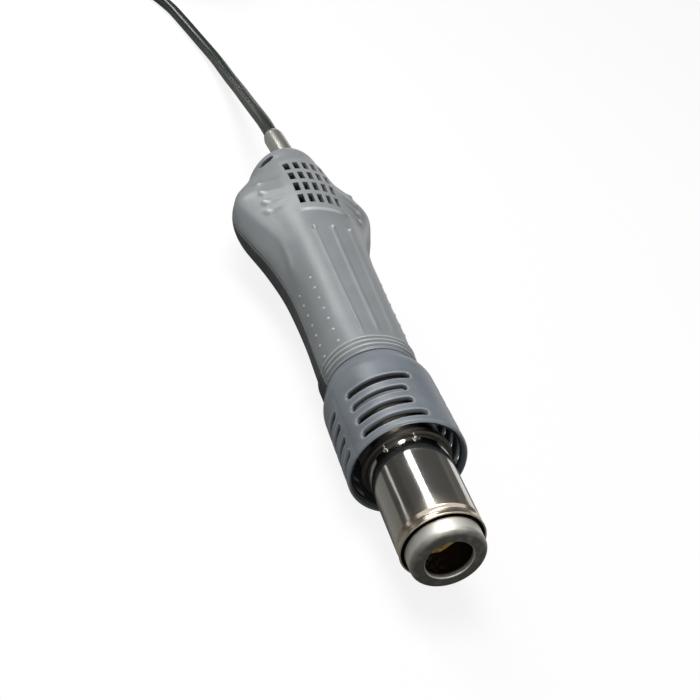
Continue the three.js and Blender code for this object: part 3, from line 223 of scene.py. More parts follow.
def filled(values, step):
    """The sorted values with evenly spaced ones put between any two that are further apart than step."""
    values = np.unique(np.round(np.asarray(values, float), 5))
    parts = []
    for a, b in zip(values, values[1:]):
        parts.append(np.linspace(a, b, int(np.ceil((b - a) / step - 1e-6)) + 1)[:-1])
    return np.concatenate([*parts, values[-1:]])


def unit(vectors):
    """Vectors brought to length one."""
    return vectors / np.linalg.norm(vectors, axis=-1, keepdims=True)


def circle(count):
    """Evenly spaced angles of one whole turn."""
    return np.arange(count) * 2 * np.pi / count


def polar(radius, y, angle):
    """Points round the handset's axis: radius r at angle a goes to (r cos a, y, r sin a)."""
    return np.stack(np.broadcast_arrays(radius * np.cos(angle), y, radius * np.sin(angle)), axis=-1)


def arc(centre, radius, start, end, steps):
    """Points [r, y] on a circle's arc between two angles in degrees, 0 being outwards and 90 to the rear."""
    turn = np.radians(np.linspace(start, end, steps + 1))
    return np.stack([centre[0] + radius * np.cos(turn), centre[1] + radius * np.sin(turn)], axis=1)


def outline(*parts):
    """One profile from points and arcs, with any point that repeats the last one dropped."""
    points = np.concatenate([np.atleast_2d(np.asarray(part, float)) for part in parts])
    moved = np.linalg.norm(np.diff(points, axis=0), axis=1) > 1e-6
    return points[np.concatenate([[True], moved])]


def turned(profile, sides):
    """A grid of a profile's points [r, y] turned round the handset's axis."""
    radius, y = np.asarray(profile, float).T[..., None]
    return polar(radius, y, circle(sides))


def on_exit(grid):
    """A grid turned round the handset's axis, laid on the cord's falling exit axis instead."""
    x, y, z = np.moveaxis(grid, -1, 0)
    along = (y - EXIT_Y) / np.cos(EXIT_TILT)
    back = EXIT_Y + along * np.cos(EXIT_TILT) - z * np.sin(EXIT_TILT)
    up = EXIT_Z + along * np.sin(EXIT_TILT) + z * np.cos(EXIT_TILT)
    return np.stack([x, back, up], axis=-1)


def skin(grid, wrap=True, outside=None):
    """Corner points and four-sided faces over a grid whose rows run to the rear and columns turn from +x to
    +z. With outside, each point's distance from a cut's outline, cells in the cut are left out, and a cell
    with one corner in it becomes a triangle."""
    rows, columns = grid.shape[:2]
    ids = np.arange(rows * columns).reshape(rows, columns)
    near = ids if wrap else ids[:, :-1]
    far = np.roll(ids, -1, axis=1) if wrap else ids[:, 1:]
    quads = np.stack([near[:-1], near[1:], far[1:], far[:-1]], axis=-1).reshape(-1, 4)
    if outside is not None:
        clear = outside.reshape(-1)[quads]
        cut = clear < -1e-6
        stays = (cut.sum(axis=1) <= 1) & (clear > 1e-6).any(axis=1)
        quads = np.where(cut, np.roll(quads, -1, axis=1), quads)[stays]
    return grid.reshape(-1, 3), quads


def together(shapes):
    """Several shapes of points and faces as one."""
    starts = np.cumsum([0] + [len(points) for points, _ in shapes[:-1]])
    points = np.concatenate([points for points, _ in shapes])
    return points, np.concatenate([quads + start for (_, quads), start in zip(shapes, starts)])


def block(low, high, turn):
    """A box between two corners, turned round the barrel's axis by an angle in degrees."""
    (x0, y0, z0), (x1, y1, z1) = low, high
    corners = np.array([[x, y, z] for x in (x0, x1) for y in (y0, y1) for z in (z0, z1)], float)
    c, s = np.cos(np.radians(turn)), np.sin(np.radians(turn))
    corners = corners @ np.array([[c, 0, s], [0, 1, 0], [-s, 0, c]])
    quads = [[0, 1, 3, 2], [4, 6, 7, 5], [0, 4, 5, 1], [2, 3, 7, 6], [0, 2, 6, 4], [1, 5, 7, 3]]
    return corners, np.array(quads)


def weld(points, quads):
    """Joins points in the same place and drops unused ones. Gives the kept points' places in the list, then
    the faces parted into quads and triangles."""
    used, quads = np.unique(quads, return_inverse=True)
    quads = quads.reshape(-1, 4)
    _, first, joined = np.unique(np.round(points[used], 4), axis=0, return_index=True, return_inverse=True)
    quads = joined.reshape(-1)[quads]
    repeats = quads == np.roll(quads, -1, axis=1)
    triangles = [np.delete(quads[repeats[:, k]], k, axis=1) for k in range(4)]
    triangles = np.concatenate(triangles)
    distinct = (triangles != np.roll(triangles, -1, axis=1)).all(axis=1)
    return used[first], quads[~repeats.any(axis=1)], triangles[distinct]


def backed(count, quads, triangles):
    """Faces of a skin of count points with the same faces turned round on as many inside points, and with
    a wall along each open edge, an edge whose reverse is in no face."""
    faces = (quads, triangles)
    edges = np.concatenate([np.stack([f, np.roll(f, -1, axis=1)], axis=-1).reshape(-1, 2) for f in faces])
    start, end = edges[~np.isin(edges @ [count, 1], edges @ [1, count])].T
    walls = np.stack([end, start, start + count, end + count], axis=1)
    quads = np.concatenate([quads, quads[:, ::-1] + count, walls])
    return quads, np.concatenate([triangles, triangles[:, ::-1] + count])


def put(owner, **settings):
    """Sets properties by their names, and gives their owner back."""
    for key, value in settings.items():
        setattr(owner, key, value)
    return owner


def linked(name, data):
    """A new object in the scene."""
    made = bpy.data.objects.new(name, data)
    bpy.context.scene.collection.objects.link(made)
    return made


def piece(name, shape, finish, body="handset", wall=0, edge=0, replaces=(), segments=2, inside=None,
          rubbed_highlight_shade=None):
    """A named mesh that rides on a body. A wall makes the surface that thick inwards, and an edge rounds its
    sharp edges, both in millimetres. Inside gives each point's partner on an inside of its own, and
    rubbed_highlight_shade is how far each point is glossy from wear and painted pale as a highlight, 0 to 1,
    kept as an attribute that is -1 on the inside, which the grey finish paints dark as shade."""
    kept, quads, triangles = weld(*shape)
    points = shape[0][kept]
    if inside is not None:
        points = np.concatenate([points, inside[kept]])
        quads, triangles = backed(len(kept), quads, triangles)
    mesh = bpy.data.meshes.new(name)
    mesh.from_pydata(place(points).tolist(), [], quads.tolist() + triangles.tolist())
    mesh.polygons.foreach_set("use_smooth", np.ones(len(mesh.polygons), bool))
    if rubbed_highlight_shade is not None:
        shine = np.full(len(points), -1.0)
        shine[:len(kept)] = rubbed_highlight_shade.reshape(-1)[kept]
        mesh.attributes.new("rubbed_highlight_shade", "FLOAT", "POINT").data.foreach_set("value", shine)
    if not edge:
        mesh.set_sharp_from_angle(angle=CREASE_ANGLE)
    mesh.materials.append(finish)
    made = linked(name, mesh)
    if wall:
        put(made.modifiers.new("wall", "SOLIDIFY"), thickness=wall * MM, offset=-1, use_even_offset=True)
    if edge:
        put(made.modifiers.new("edge", "BEVEL"), width=edge * MM, segments=segments, limit_method="ANGLE",
            angle_limit=BEVEL_ANGLE, use_clamp_overlap=False, harden_normals=True)
    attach(made, body)
    if replaces:
        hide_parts(*replaces)
    return made


def from_slots(u, v, slots):
    """Distance from each point (u, v) to the nearest round-ended slot's outline, negative inside it, and
    the unit way out. A slot is a line (u0, v0) to (u1, v1) thickened by a radius."""
    clear = np.full(np.shape(u), np.inf)
    way = np.zeros((2, *np.shape(u)))
    for u0, v0, u1, v1, radius in slots:
        length = max((u1 - u0) ** 2 + (v1 - v0) ** 2, 1e-9)
        t = np.clip(((u - u0) * (u1 - u0) + (v - v0) * (v1 - v0)) / length, 0, 1)
        off = np.stack([u - u0 - t * (u1 - u0), v - v0 - t * (v1 - v0)])
        reach = np.maximum(np.hypot(*off), 1e-9)
        nearer = reach - radius < clear
        clear = np.where(nearer, reach - radius, clear)
        way = np.where(nearer, off / reach, way)
    return clear, way


def snapped(u, v, slots, reach):
    """The points with those nearer than reach to a slot's outline moved onto it, and their distances."""
    clear, way = from_slots(u, v, slots)
    shift = np.where(np.abs(clear) < reach, clear, 0)
    return u - shift * way[0], v - shift * way[1], clear - shift


def cut_through(grid, way_in, centre, half, radius, reach, near):
    """Cuts a round-ended slot straight through a skin. It lies across way_in, runs along x for half a length
    either way from its centre, and only points whose y is within near of the centre's are looked at."""
    side_v = unit(np.cross(way_in, (1, 0, 0)))
    side_u = np.cross(side_v, way_in)
    from_centre = grid - centre
    u, v = from_centre @ side_u, from_centre @ side_v
    new_u, new_v, clear = snapped(u, v, [(-half, 0, half, 0, radius)], reach)
    moved = grid + (new_u - u)[..., None] * side_u + (new_v - v)[..., None] * side_v
    where = np.abs(from_centre[..., 1]) < near
    return np.where(where[..., None], moved, grid), np.where(where, clear, np.inf)


# Finishes


def math_node(operation, swapped=False):
    """An operator that writes a Math node for two values, or for a value and a number."""
    def write(value, other):
        first, second = (other, value) if swapped else (value, other)
        return value.finish.node("ShaderNodeMath", {"operation": operation}, {0: first, 1: second})
    return write


class Value:
    """One output of a material's node, on which + - * / and powers write Math nodes."""

    def __init__(self, finish, socket):
        self.finish = finish
        self.socket = socket

    __add__ = math_node("ADD")
    __radd__ = math_node("ADD", swapped=True)
    __sub__ = math_node("SUBTRACT")
    __rsub__ = math_node("SUBTRACT", swapped=True)
    __mul__ = math_node("MULTIPLY")
    __rmul__ = math_node("MULTIPLY", swapped=True)
    __truediv__ = math_node("DIVIDE")
    __pow__ = math_node("POWER")


class Finish:
    """A material or a world under construction, with one method that adds any node."""

    def __init__(self, name, kind="materials"):
        self.made = getattr(bpy.data, kind).new(name)
        self.made.use_nodes = True
        self.tree = self.made.node_tree
        self.tree.nodes.clear()
        self.place = self.node("ShaderNodeTexCoord", output="Object")

    def node(self, kind, settings=None, values=None, output=0):
        """Adds a node with its settings, then the values or links of its sockets, and gives an output."""
        made = put(self.tree.nodes.new(kind), **(settings or {}))
        for key, value in (values or {}).items():
            if isinstance(value, Value):
                self.tree.links.new(value.socket, made.inputs[key])
            else:
                made.inputs[key].default_value = value
        return Value(self, made.outputs[output])

    def axis(self, name):
        """X, Y or Z in handset millimetres."""
        parted = self.node("ShaderNodeSeparateXYZ", values={0: self.place}, output=name)
        return (parted - float(ORIGIN["XYZ".index(name)])) / MM

    def radius(self):
        """Distance from the barrel's axis in millimetres."""
        x, z = self.axis("X"), self.axis("Z")
        return (x * x + z * z) ** 0.5

    def rubbed_highlight_shade(self):
        """The piece's own attribute: 1 where it is glossy from wear and painted pale as a highlight, -1 on
        its inside, where shade is painted.
        """
        return self.node("ShaderNodeAttribute", {"attribute_name": "rubbed_highlight_shade"}, output="Fac")

    def noise(self, size, detail=2.0, stretch=None):
        """Noise between 0 and 1 whose lumps are about size millimetres wide, on object coordinates that
        three factors stretch for a pattern that runs along the handset."""
        at = self.place
        if stretch:
            at = self.node("ShaderNodeVectorMath", {"operation": "MULTIPLY"}, {0: at, 1: stretch})
        values = {"Vector": at, "Scale": 1 / (size * MM), "Detail": detail}
        return self.node("ShaderNodeTexNoise", values=values)

    def between(self, value, low, high):
        """0 below low, 1 above high, and even between."""
        values = {"Value": value, "From Min": low, "From Max": high}
        return self.node("ShaderNodeMapRange", {"clamp": True}, values)

    def mix(self, factor, first, second):
        """Two colours mixed by a factor."""
        first, second = [c if isinstance(c, Value) else (*c, 1.0) for c in (first, second)]
        values = {0: factor, 6: first, 7: second}
        return self.node("ShaderNodeMix", {"data_type": "RGBA"}, values, 2)

    def bump(self, height, depth):
        """Relief of height times depth millimetres."""
        values = {"Strength": 1.0, "Distance": depth * MM, "Height": height}
        return self.node("ShaderNodeBump", values=values)

    def close(self, shader, kind="ShaderNodeOutputMaterial"):
        """Links a shader to the output, and gives the material or world back."""
        output = self.tree.nodes.new(kind)
        self.tree.links.new(shader.socket, output.inputs["Surface"])
        return self.made

    def surface(self, **values):
        """Closes the material with a Principled surface; values are its sockets, underscores for spaces."""
        named = {key.replace("_", " "): value for key, value in values.items()}
        if not isinstance(named["Base Color"], Value):
            named["Base Color"] = (*named["Base Color"], 1.0)
        return self.close(self.node("ShaderNodeBsdfPrincipled", values=named))


def grey_plastic():
    """Satin grey moulding: a fine grain, faint clouding, and soft smudges that change the gloss. Raised
    parts are glossier from wear and painted pale as a highlight, and the walls of the vents are painted
    darker inwards as shade."""
    f = Finish("grey_plastic")
    gloss_and_highlight = f.between(f.rubbed_highlight_shade(), 0, 1)
    painted_vent_shade = f.between(f.rubbed_highlight_shade(), -0.05, -0.6)
    base = f.mix(f.between(f.noise(14, 3), 0.3, 0.7), (0.23, 0.247, 0.256), (0.268, 0.285, 0.294))
    # Painted highlight: raised parts are mixed towards pale grey
    base = f.mix(gloss_and_highlight * 0.85, base, (0.56, 0.58, 0.59))
    # Painted shade: the vents' walls are mixed towards near-black inwards
    base = f.mix(painted_vent_shade, base, (0.03, 0.032, 0.034))
    rough = 0.3 + f.noise(6, 4) * 0.13 - gloss_and_highlight * 0.12 + painted_vent_shade * 0.3
    grain = f.noise(0.22, 2) * 0.7 + f.noise(5, 2) * 0.5
    return f.surface(Base_Color=base, Roughness=rough, Normal=f.bump(grain, 0.04))


def textured_plastic_painted_shade():
    """The lower half: painted darker than the upper as shade, and duller, with a coarser moulded grain and a
    painted highlight along its top edge.
    """
    f = Finish("textured_plastic_painted_shade")
    # Painted shade: the same grey as the upper half, mixed far darker
    base = f.mix(f.between(f.noise(9, 3), 0.3, 0.7), (0.062, 0.066, 0.069), (0.09, 0.095, 0.098))
    # Painted highlight: paler along the top edge, by the attribute
    base = f.mix(f.between(f.rubbed_highlight_shade(), 0, 1) * 0.6, base, (0.33, 0.35, 0.36))
    return f.surface(Base_Color=base, Roughness=0.55 + f.noise(4, 3) * 0.15, Specular_IOR_Level=0.3,
                     Normal=f.bump(f.noise(0.45, 3), 0.12))


def guard_plastic():
    """Blue-grey moulding of the guard: finely grained, glossier from wear and painted pale as a highlight
    round its slots and front rim, and painted nearly black as shade on its inside."""
    f = Finish("guard_plastic")
    radius = f.radius()
    inside = f.between(radius, GUARD_R - 1.1, GUARD_R - 1.6)
    gloss_and_highlight = f.between(f.rubbed_highlight_shade(), 0, 1) * f.between(radius, GUARD_R - 1, GUARD_R - 0.6)
    front = f.between(f.axis("Y"), GUARD_Y + 26, GUARD_Y + 24)
    cloud = f.noise(7, 4)
    base = f.mix(f.between(cloud, 0.3, 0.7), (0.15, 0.173, 0.196), (0.195, 0.22, 0.245))
    # Painted highlight round the slots and along the front rim
    base = f.mix(gloss_and_highlight * 0.55, base, (0.46, 0.49, 0.52))
    # Painted shade: nearly black on the inside
    base = f.mix(inside * front, base, (0.012, 0.012, 0.013))
    rough = 0.3 + cloud * 0.15 + inside * 0.4 - gloss_and_highlight * 0.1
    return f.surface(Base_Color=base, Roughness=rough, Normal=f.bump(f.noise(0.3, 2), 0.04))


def barrel_steel():
    """Polished stainless, drawn along its length, straw where the heat has tinted it by the bead,
    heat-tinted brown and painted dark as shade where it runs into the guard, and painted black as shade
    inside its front edge, in the gap to the tip."""
    f = Finish("barrel_steel")
    y = f.axis("Y")
    lines = f.noise(1.2, 4, (1, 0.03, 1))
    patches = f.noise(5, 4)
    ring = f.between(y + patches * 4, 17, 8)
    # Heat tint, painted dark as shade where the barrel runs into the guard
    mouth = f.between(y + patches * 3, 36.5, 41)
    # Painted shade: black just inside the front edge, in the gap to the tip
    within = f.between(f.radius(), BARREL_R - 0.3, BARREL_R - 0.45)
    within = within * f.between(y, BARREL_Y + 1, BARREL_Y + 0.6)
    base = f.mix(lines, (0.60, 0.585, 0.55), (0.47, 0.46, 0.43))
    base = f.mix(ring * 0.75, base, (0.60, 0.50, 0.38))
    base = f.mix(mouth * 0.9, base, (0.09, 0.075, 0.05))
    base = f.mix(within, base, (0.015, 0.013, 0.01))
    rough = 0.07 + patches * 0.05 + lines * 0.05 + ring * 0.12 + mouth * 0.2
    grain = lines * 0.4 + f.noise(9)
    return f.surface(Base_Color=base, Metallic=1.0, Roughness=rough, Normal=f.bump(grain, 0.035))


def tip_steel():
    """Satin steel cap: brushed round, with a dark oxide on the face round the hole that is painted darker
    still as a painted reflection, painted black as shade where the barrel covers it, and painted black as
    shade inside with golden patches painted as glints."""
    f = Finish("tip_steel")
    y, radius = f.axis("Y"), f.radius()
    patches = f.noise(2.5, 4)
    # Oxide on the face, painted darker still as a painted reflection of dark surroundings
    face = f.between(y + patches * 1.2, 2.6, 0.6) * f.between(radius, TIP_HOLE_R + 0.1, TIP_HOLE_R + 0.35)
    # Painted shade: black inside
    inner = f.between(y, 0.9, 1.6) * f.between(radius, TIP_R - 0.15, TIP_R - 0.3)
    # Painted shade in the gap where the barrel overlaps the cap
    painted_gap_shade = f.between(y, BARREL_Y - 0.3, BARREL_Y - 0.1) * f.between(radius, TIP_R - 0.15, TIP_R - 0.05)
    # Painted glints: golden patches inside, towards -x
    painted_glint_patches = f.between(f.noise(1.6, 3), 0.46, 0.8) * f.between(y, 4, 7) * f.between(f.axis("X"), 6, -4)
    base = f.mix(patches, (0.72, 0.70, 0.65), (0.56, 0.55, 0.50))
    base = f.mix(face, base, (0.11, 0.105, 0.09))
    base = f.mix(inner, base, f.mix(painted_glint_patches, (0.035, 0.024, 0.014), (0.7, 0.46, 0.17)))
    base = f.mix(painted_gap_shade, base, (0.01, 0.009, 0.008))
    return f.surface(Base_Color=base, Metallic=0.75, Roughness=0.42 + patches * 0.1,
                     Normal=f.bump(f.noise(0.5, 3, (0.2, 1, 0.2)), 0.02))


def mica():
    """Golden brown mica sheet: flaky layers, crinkled and glossy."""
    f = Finish("mica")
    flakes = f.noise(3, 4)
    base = f.mix(f.between(flakes, 0.4, 0.6), (0.06, 0.035, 0.012), (0.75, 0.48, 0.16))
    return f.surface(Base_Color=base, Roughness=0.25 + flakes * 0.2, Specular_IOR_Level=0.3,
                     Normal=f.bump(f.noise(2.2, 4), 0.9))


def ceramic():
    """Unglazed ceramic, darker brown towards the tip."""
    f = Finish("ceramic")
    brown = f.between(f.axis("Y") + f.noise(4, 3) * 14, 40, 18)
    base = f.mix(brown, (0.66, 0.61, 0.52), (0.14, 0.09, 0.05))
    return f.surface(Base_Color=base, Roughness=0.72, Normal=f.bump(f.noise(0.6, 3), 0.06))


def mottled(name, size, detail, first, second, rough, spread=0, grain=0, depth=0, stretch=None, **sockets):
    """One colour, or two that a noise mixes, which also spreads the roughness. The relief is that noise, or
    one of its own whose grain is given."""
    f = Finish(name)
    spots = f.noise(size, detail, stretch)
    base = f.mix(spots, first, second) if second else first
    if spread:
        rough = rough + spots * spread
    if depth:
        sockets["Normal"] = f.bump(f.noise(grain) if grain else spots, depth)
    return f.surface(Base_Color=base, Roughness=rough, **sockets)


PLASTIC = grey_plastic()
LOWER_PLASTIC_PAINTED_SHADE = textured_plastic_painted_shade()
GUARD_PLASTIC = guard_plastic()
BARREL_STEEL = barrel_steel()
TIP_STEEL = tip_steel()
# Bright nickel plate, the duller one of the cord's sleeve, and the collar's dark steel
NICKEL = mottled("nickel", 2, 4, (0.76, 0.73, 0.65), (0.62, 0.59, 0.52), rough=0.14, spread=0.12,
                 grain=4, depth=0.03, Metallic=1.0)
SATIN_NICKEL = mottled("satin_nickel", 2, 4, (0.72, 0.70, 0.64), (0.56, 0.54, 0.49), rough=0.26,
                       spread=0.12, grain=3, depth=0.03, Metallic=1.0)
DARK_STEEL = mottled("dark_steel", 1.5, 4, (0.1, 0.095, 0.085), (0.05, 0.047, 0.042), rough=0.35,
                     spread=0.2, grain=0.8, depth=0.02, Metallic=1.0)
JACKET = mottled("cord_jacket", 20, 2, (0.007, 0.013, 0.01), (0.014, 0.024, 0.019), rough=0.22,
                 spread=0.12, depth=0.15, Specular_IOR_Level=0.6)
STRAP = mottled("strap", 0.35, 1, (0.012, 0.012, 0.013), (0.035, 0.035, 0.036), rough=0.85, depth=0.15,
                stretch=(2.5, 1, 2.5))
HEAT_WIRE = mottled("heating_wire", 0.7, 3, (0.50, 0.44, 0.36), (0.22, 0.19, 0.16), rough=0.25,
                    spread=0.2, Metallic=1.0)
MICA = mica()
SLOT_FINISH = {
    "housing": PLASTIC,
    "steel": BARREL_STEEL,
    "nickel": NICKEL,
    "mica": MICA,
    "heat_wire": HEAT_WIRE,
    "cord": JACKET,
    "ceramic": ceramic(),
    "black_plastic": mottled("black_plastic", 3, 3, (0.012, 0.013, 0.014), None, rough=0.38, spread=0.2,
                             grain=0.3, depth=0.03),
    "screw_steel": mottled("zinc_steel", 0.8, 4, (0.55, 0.55, 0.53), (0.38, 0.38, 0.37), rough=0.28,
                           spread=0.2, grain=0.5, depth=0.02, Metallic=1.0),
    "copper": mottled("copper", 0.25, 1, (0.56, 0.25, 0.12), (0.36, 0.14, 0.06), rough=0.35, depth=0.08,
                      stretch=(1, 1, 8), Metallic=0.9),
    "board": mottled("circuit_board", 0.5, 2, (0.016, 0.09, 0.035), (0.028, 0.14, 0.055), rough=0.3,
                     depth=0.02, Coat_Weight=0.4),
    "glass": mottled("reed_glass", 2, 2, (0.45, 0.62, 0.5), None, rough=0.08, spread=0.06,
                     Transmission_Weight=0.7),
    "red_wire": mottled("red_silicone", 3, 3, (0.34, 0.03, 0.02), (0.272, 0.024, 0.016), rough=0.45,
                        spread=0.15, grain=0.8, depth=0.04),
    "white_wire": mottled("white_silicone", 3, 3, (0.66, 0.63, 0.56), (0.528, 0.504, 0.448), rough=0.45,
                          spread=0.15, grain=0.8, depth=0.04),
}


def dress_solids():
    """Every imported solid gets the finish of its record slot."""
    for part in frame["record"]["subparts"]:
        materials = frame["nodes"][part["node"]].data.materials
        materials.clear()
        materials.append(SLOT_FINISH[part["material_slot"]])


# Camera


def camera():
    """The photograph's viewpoint, fitted to the tip's circles and the handset's edges, and rolled as it was.
    The focal length and the picture's width are in its pixels."""
    at = (-152.98, -196.17, 208.75)
    right = np.array([0.91772, -0.27040, 0.29099])
    down = np.array([0.07060, -0.60986, -0.78936])
    sensor, focal, width = 36, 1200, 700
    data = bpy.data.cameras.new("camera")
    put(data, sensor_width=sensor, lens=sensor * focal / width, clip_start=0.01, clip_end=20)
    eye = linked("camera", data)
    turn = Matrix((right, -down, -np.cross(right, down))).transposed().to_4x4()
    eye.matrix_world = Matrix.Translation(place(at)) @ turn
    bpy.context.scene.camera = eye


# The cord and what is on it


def through_points(points, step):
    """A smooth curve through chosen points: centripetal Catmull-Rom, worked out as straight blends of blends
    of neighbouring points, with knots a square root of the distance apart."""
    p = np.asarray(points, float)
    p = np.vstack([2 * p[0] - p[1], p, 2 * p[-1] - p[-2]])
    knot = np.concatenate([[0], np.cumsum(np.linalg.norm(np.diff(p, axis=0), axis=1) ** 0.5)])

    def blend(a, b, i, j, t):
        share = (t - knot[i]) / (knot[j] - knot[i])
        return a * (1 - share) + b * share

    parts = []
    for k in range(1, len(p) - 2):
        count = int(np.ceil(np.linalg.norm(p[k + 1] - p[k]) / step))
        t = np.linspace(knot[k], knot[k + 1], count, endpoint=False)[:, None]
        first = blend(p[k - 1], p[k], k - 1, k, t)
        middle = blend(p[k], p[k + 1], k, k + 1, t)
        last = blend(p[k + 1], p[k + 2], k + 1, k + 2, t)
        front = blend(first, middle, k - 1, k + 1, t)
        back = blend(middle, last, k, k + 2, t)
        parts.append(blend(front, back, k, k + 1, t))
    return np.vstack([*parts, p[-2:-1]])


def coil_line():
    """The coil, clockwise from its left: round a circle whose radius shrinks a pitch a loop to half way and
    grows again, while the height climbs one layer in the middle half loop."""
    loops = np.linspace(0, COIL_LOOPS, int(COIL_LOOPS * 56) + 1)
    half = COIL_LOOPS / 2
    radius = COIL_R - COIL_PITCH * (half - np.abs(loops - half))
    angle = np.pi - loops * 2 * np.pi
    z = COIL_Z + COIL_LAYER * smooth(loops - half, -0.25, 0.25)
    return np.stack([COIL_X + radius * np.cos(angle), COIL_Y + radius * np.sin(angle), z], axis=1)


COIL_END = coil_line()[-1]


def cord_line():
    """The whole cord: out of the sleeve, down to the floor, round the coil and into the connector."""
    lead = [[0, FERRULE_TO - 1, exit_z(FERRULE_TO - 1)], [0.3, 229, 7.1], [0.8, 238, 5.7], [1.5, 250.6, 3.2],
            [2.9, 268.6, -0.8], [4.7, 293, -6], [5.4, 314, -10], [4.7, 341.5, -13.4], [2, 362.7, -15],
            [-3.1, 387.4, ON_FLOOR_Z], [-6.7, 401.7, ON_FLOOR_Z], [-10.8, 412, ON_FLOOR_Z],
            [-16.5, 424, ON_FLOOR_Z], [-21, 436, ON_FLOOR_Z + 0.3], [-23.6, 449, COIL_Z - 0.1],
            [COIL_X - COIL_R, COIL_Y - 6, COIL_Z], [COIL_X - COIL_R, COIL_Y, COIL_Z]]
    y, z = COIL_END[1:]
    tail = [COIL_END, [COIL_X + 9, y, z], [COIL_X + 14.5, y - 1.6, z + 0.8], [COIL_X + 21.5, y - 6, z + 3.2],
            [COIL_X + 27.5, y - 13, z + 7], [COIL_X + 30, COIL_Y + 14, PLUG_Z - 2.7],
            [COIL_X + 26.5, COIL_Y + 4.5, PLUG_Z - 0.7], [COIL_X + 17, PLUG_Y + 0.5, PLUG_Z],
            [PLUG_X + 6, PLUG_Y, PLUG_Z], [PLUG_X - 1, PLUG_Y, PLUG_Z]]
    return np.vstack([through_points(lead, 3)[:-1], coil_line()[:-1], through_points(tail, 2)])


def cord():
    """The cord as one curve with a round section."""
    line = place(cord_line())
    curve = bpy.data.curves.new("cord", "CURVE")
    put(curve, dimensions="3D", bevel_depth=CORD_R * MM, bevel_resolution=6, use_fill_caps=True)
    spline = curve.splines.new("POLY")
    spline.points.add(len(line) - 1)
    spline.points.foreach_set("co", np.hstack([line, np.ones((len(line), 1))]).ravel())
    spline.use_smooth = True
    curve.materials.append(JACKET)
    made = linked("cord", curve)
    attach(made, "handset")
    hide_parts("cord_lead", "cord_coil", "cord_tail")
    on_it = [tie_band(), connector_body(), connector_ring(), *connector_pins(),
             frame["nodes"]["connector_insert"]]


def tie_band():
    """A strap round the coil's turns: a rounded rectangle, |x|^8 + |z|^8 = 1, with a thin wall."""
    low, high = span("cord_tie")
    middle, half = (low + high) / 2, (high - low) / 2
    angle = circle(96)
    grid = middle + half * polar(oval(1, 1, angle, 8), np.linspace(-1, 1, 5)[:, None], angle)
    return piece("cord_tie_band", skin(grid), STRAP, wall=0.65, edge=0.15,
                 replaces=["cord_tie"])


def on_plug(grid):
    """A grid turned round the handset's axis, laid on the connector's, which runs to -x from its back."""
    x, y, z = np.moveaxis(grid, -1, 0)
    return np.stack([PLUG_X - y, PLUG_Y + x, PLUG_Z + z], axis=-1)


def connector_body():
    """The connector's back shell: a sleeve for the cord, a shoulder, and a barrel that the ring turns on."""
    bore = 3.1
    sleeve = PLUG_R - 1.5
    back = PLUG_X - span("connector_ring")[1][0]
    profile = outline([bore, 9], [bore, 0.4], arc((3.5, 0.4), 0.4, 180, 270, 3),
                      arc((4.2, 0.5), 0.5, 270, 360, 3), [4.7, 4.6], arc((5.2, 5.1), 0.5, 180, 90, 3),
                      [6.6, 5.8], arc((7.0, 6.6), 0.8, 270, 360, 4), [sleeve, 9], [sleeve - 0.3, 9.3],
                      [sleeve - 0.3, 10.5], [sleeve, 10.8], [sleeve, back - 0.5], [sleeve - 1.9, back],
                      [sleeve - 2, back + 3], [sleeve - 3, back + 3], [sleeve - 3, 9], [bore, 9])
    return piece("connector_shell", skin(on_plug(turned(profile, 64))), NICKEL,
                 replaces=["connector_body"])


def connector_ring():
    """Coupling ring: a knurl of shallow flutes between two plain bands, open at its mouth."""
    low, high = span("connector_ring")
    length = high[0] - low[0]
    flutes, depth, lip = 28, 0.5, 0.35
    y = filled([0, lip, 1.4, 1.8, length - 1.9, length - 1.5, length - lip, length], 1.2)[:, None]
    angle = circle(flutes * 8)
    cut = smooth(y, 1.4, 1.9) * smooth(y, length - 1.5, length - 2)
    end = lip * (1 - np.sqrt(1 - np.clip(1 - np.minimum(y, length - y) / lip, 0, 1) ** 2))
    outside = polar(PLUG_R - end - depth * cut * (0.5 - 0.5 * np.cos(flutes * angle)) ** 0.7, y, angle)
    rim, bore, seat = PLUG_R - lip, PLUG_R - 1.6, PLUG_R - 3.1
    inside = [[rim, length], [bore, length], [bore, 1.2], [seat, 1.2], [seat, 0], [rim, 0]]
    to_front = [0, PLUG_X - high[0], 0]
    shapes = [skin(on_plug(part + to_front)) for part in (outside, turned(inside, len(angle)))]
    return piece("connector_ring_knurled", together(shapes), NICKEL, body="coupling",
                 replaces=["connector_ring"])


def connector_pins():
    """Five round-nosed pins, each its own piece."""
    made = []
    for index, angle in enumerate(circle(PINS)):
        name = f"connector_pin_{index + 1}"
        low, high = span(name)
        tip, foot = PLUG_X - low[0], PLUG_X - high[0]
        r = (high[2] - low[2]) / 2
        profile = outline([0, foot], [r, foot], arc((r - 0.6, tip - 0.6), 0.6, 0, 90, 5), [0, tip])
        shape = skin(on_plug(turned(profile, 24) + polar(PIN_CIRCLE_R, 0, angle)))
        made.append(piece(f"pin_{index + 1}", shape, NICKEL, replaces=[name]))
    return made


# Handle shells


def through(stations, y):
    """A smooth line through stations [y, value]: a cubic between two stations whose slopes at them are those
    from the station before to the station after."""
    at, value = np.asarray(stations, float).T
    slope = np.gradient(value, at)
    slope[1:-1] = (value[2:] - value[:-2]) / (at[2:] - at[:-2])
    y = np.clip(y, at[0], at[-1])
    i = np.clip(np.searchsorted(at, y, side="right") - 1, 0, len(at) - 2)
    width = at[i + 1] - at[i]
    t = (y - at[i]) / width
    lean = slope[i] * (1 - t) - slope[i + 1] * t
    return value[i] + (value[i + 1] - value[i]) * (3 - 2 * t) * t * t + width * t * (1 - t) * lean


def oval(side, height, angle, power=2):
    """Radius at an angle of the curve |x/side|^p + |z/height|^p = 1."""
    return (np.abs(np.cos(angle) / side) ** power + np.abs(np.sin(angle) / height) ** power) ** (-1 / power)


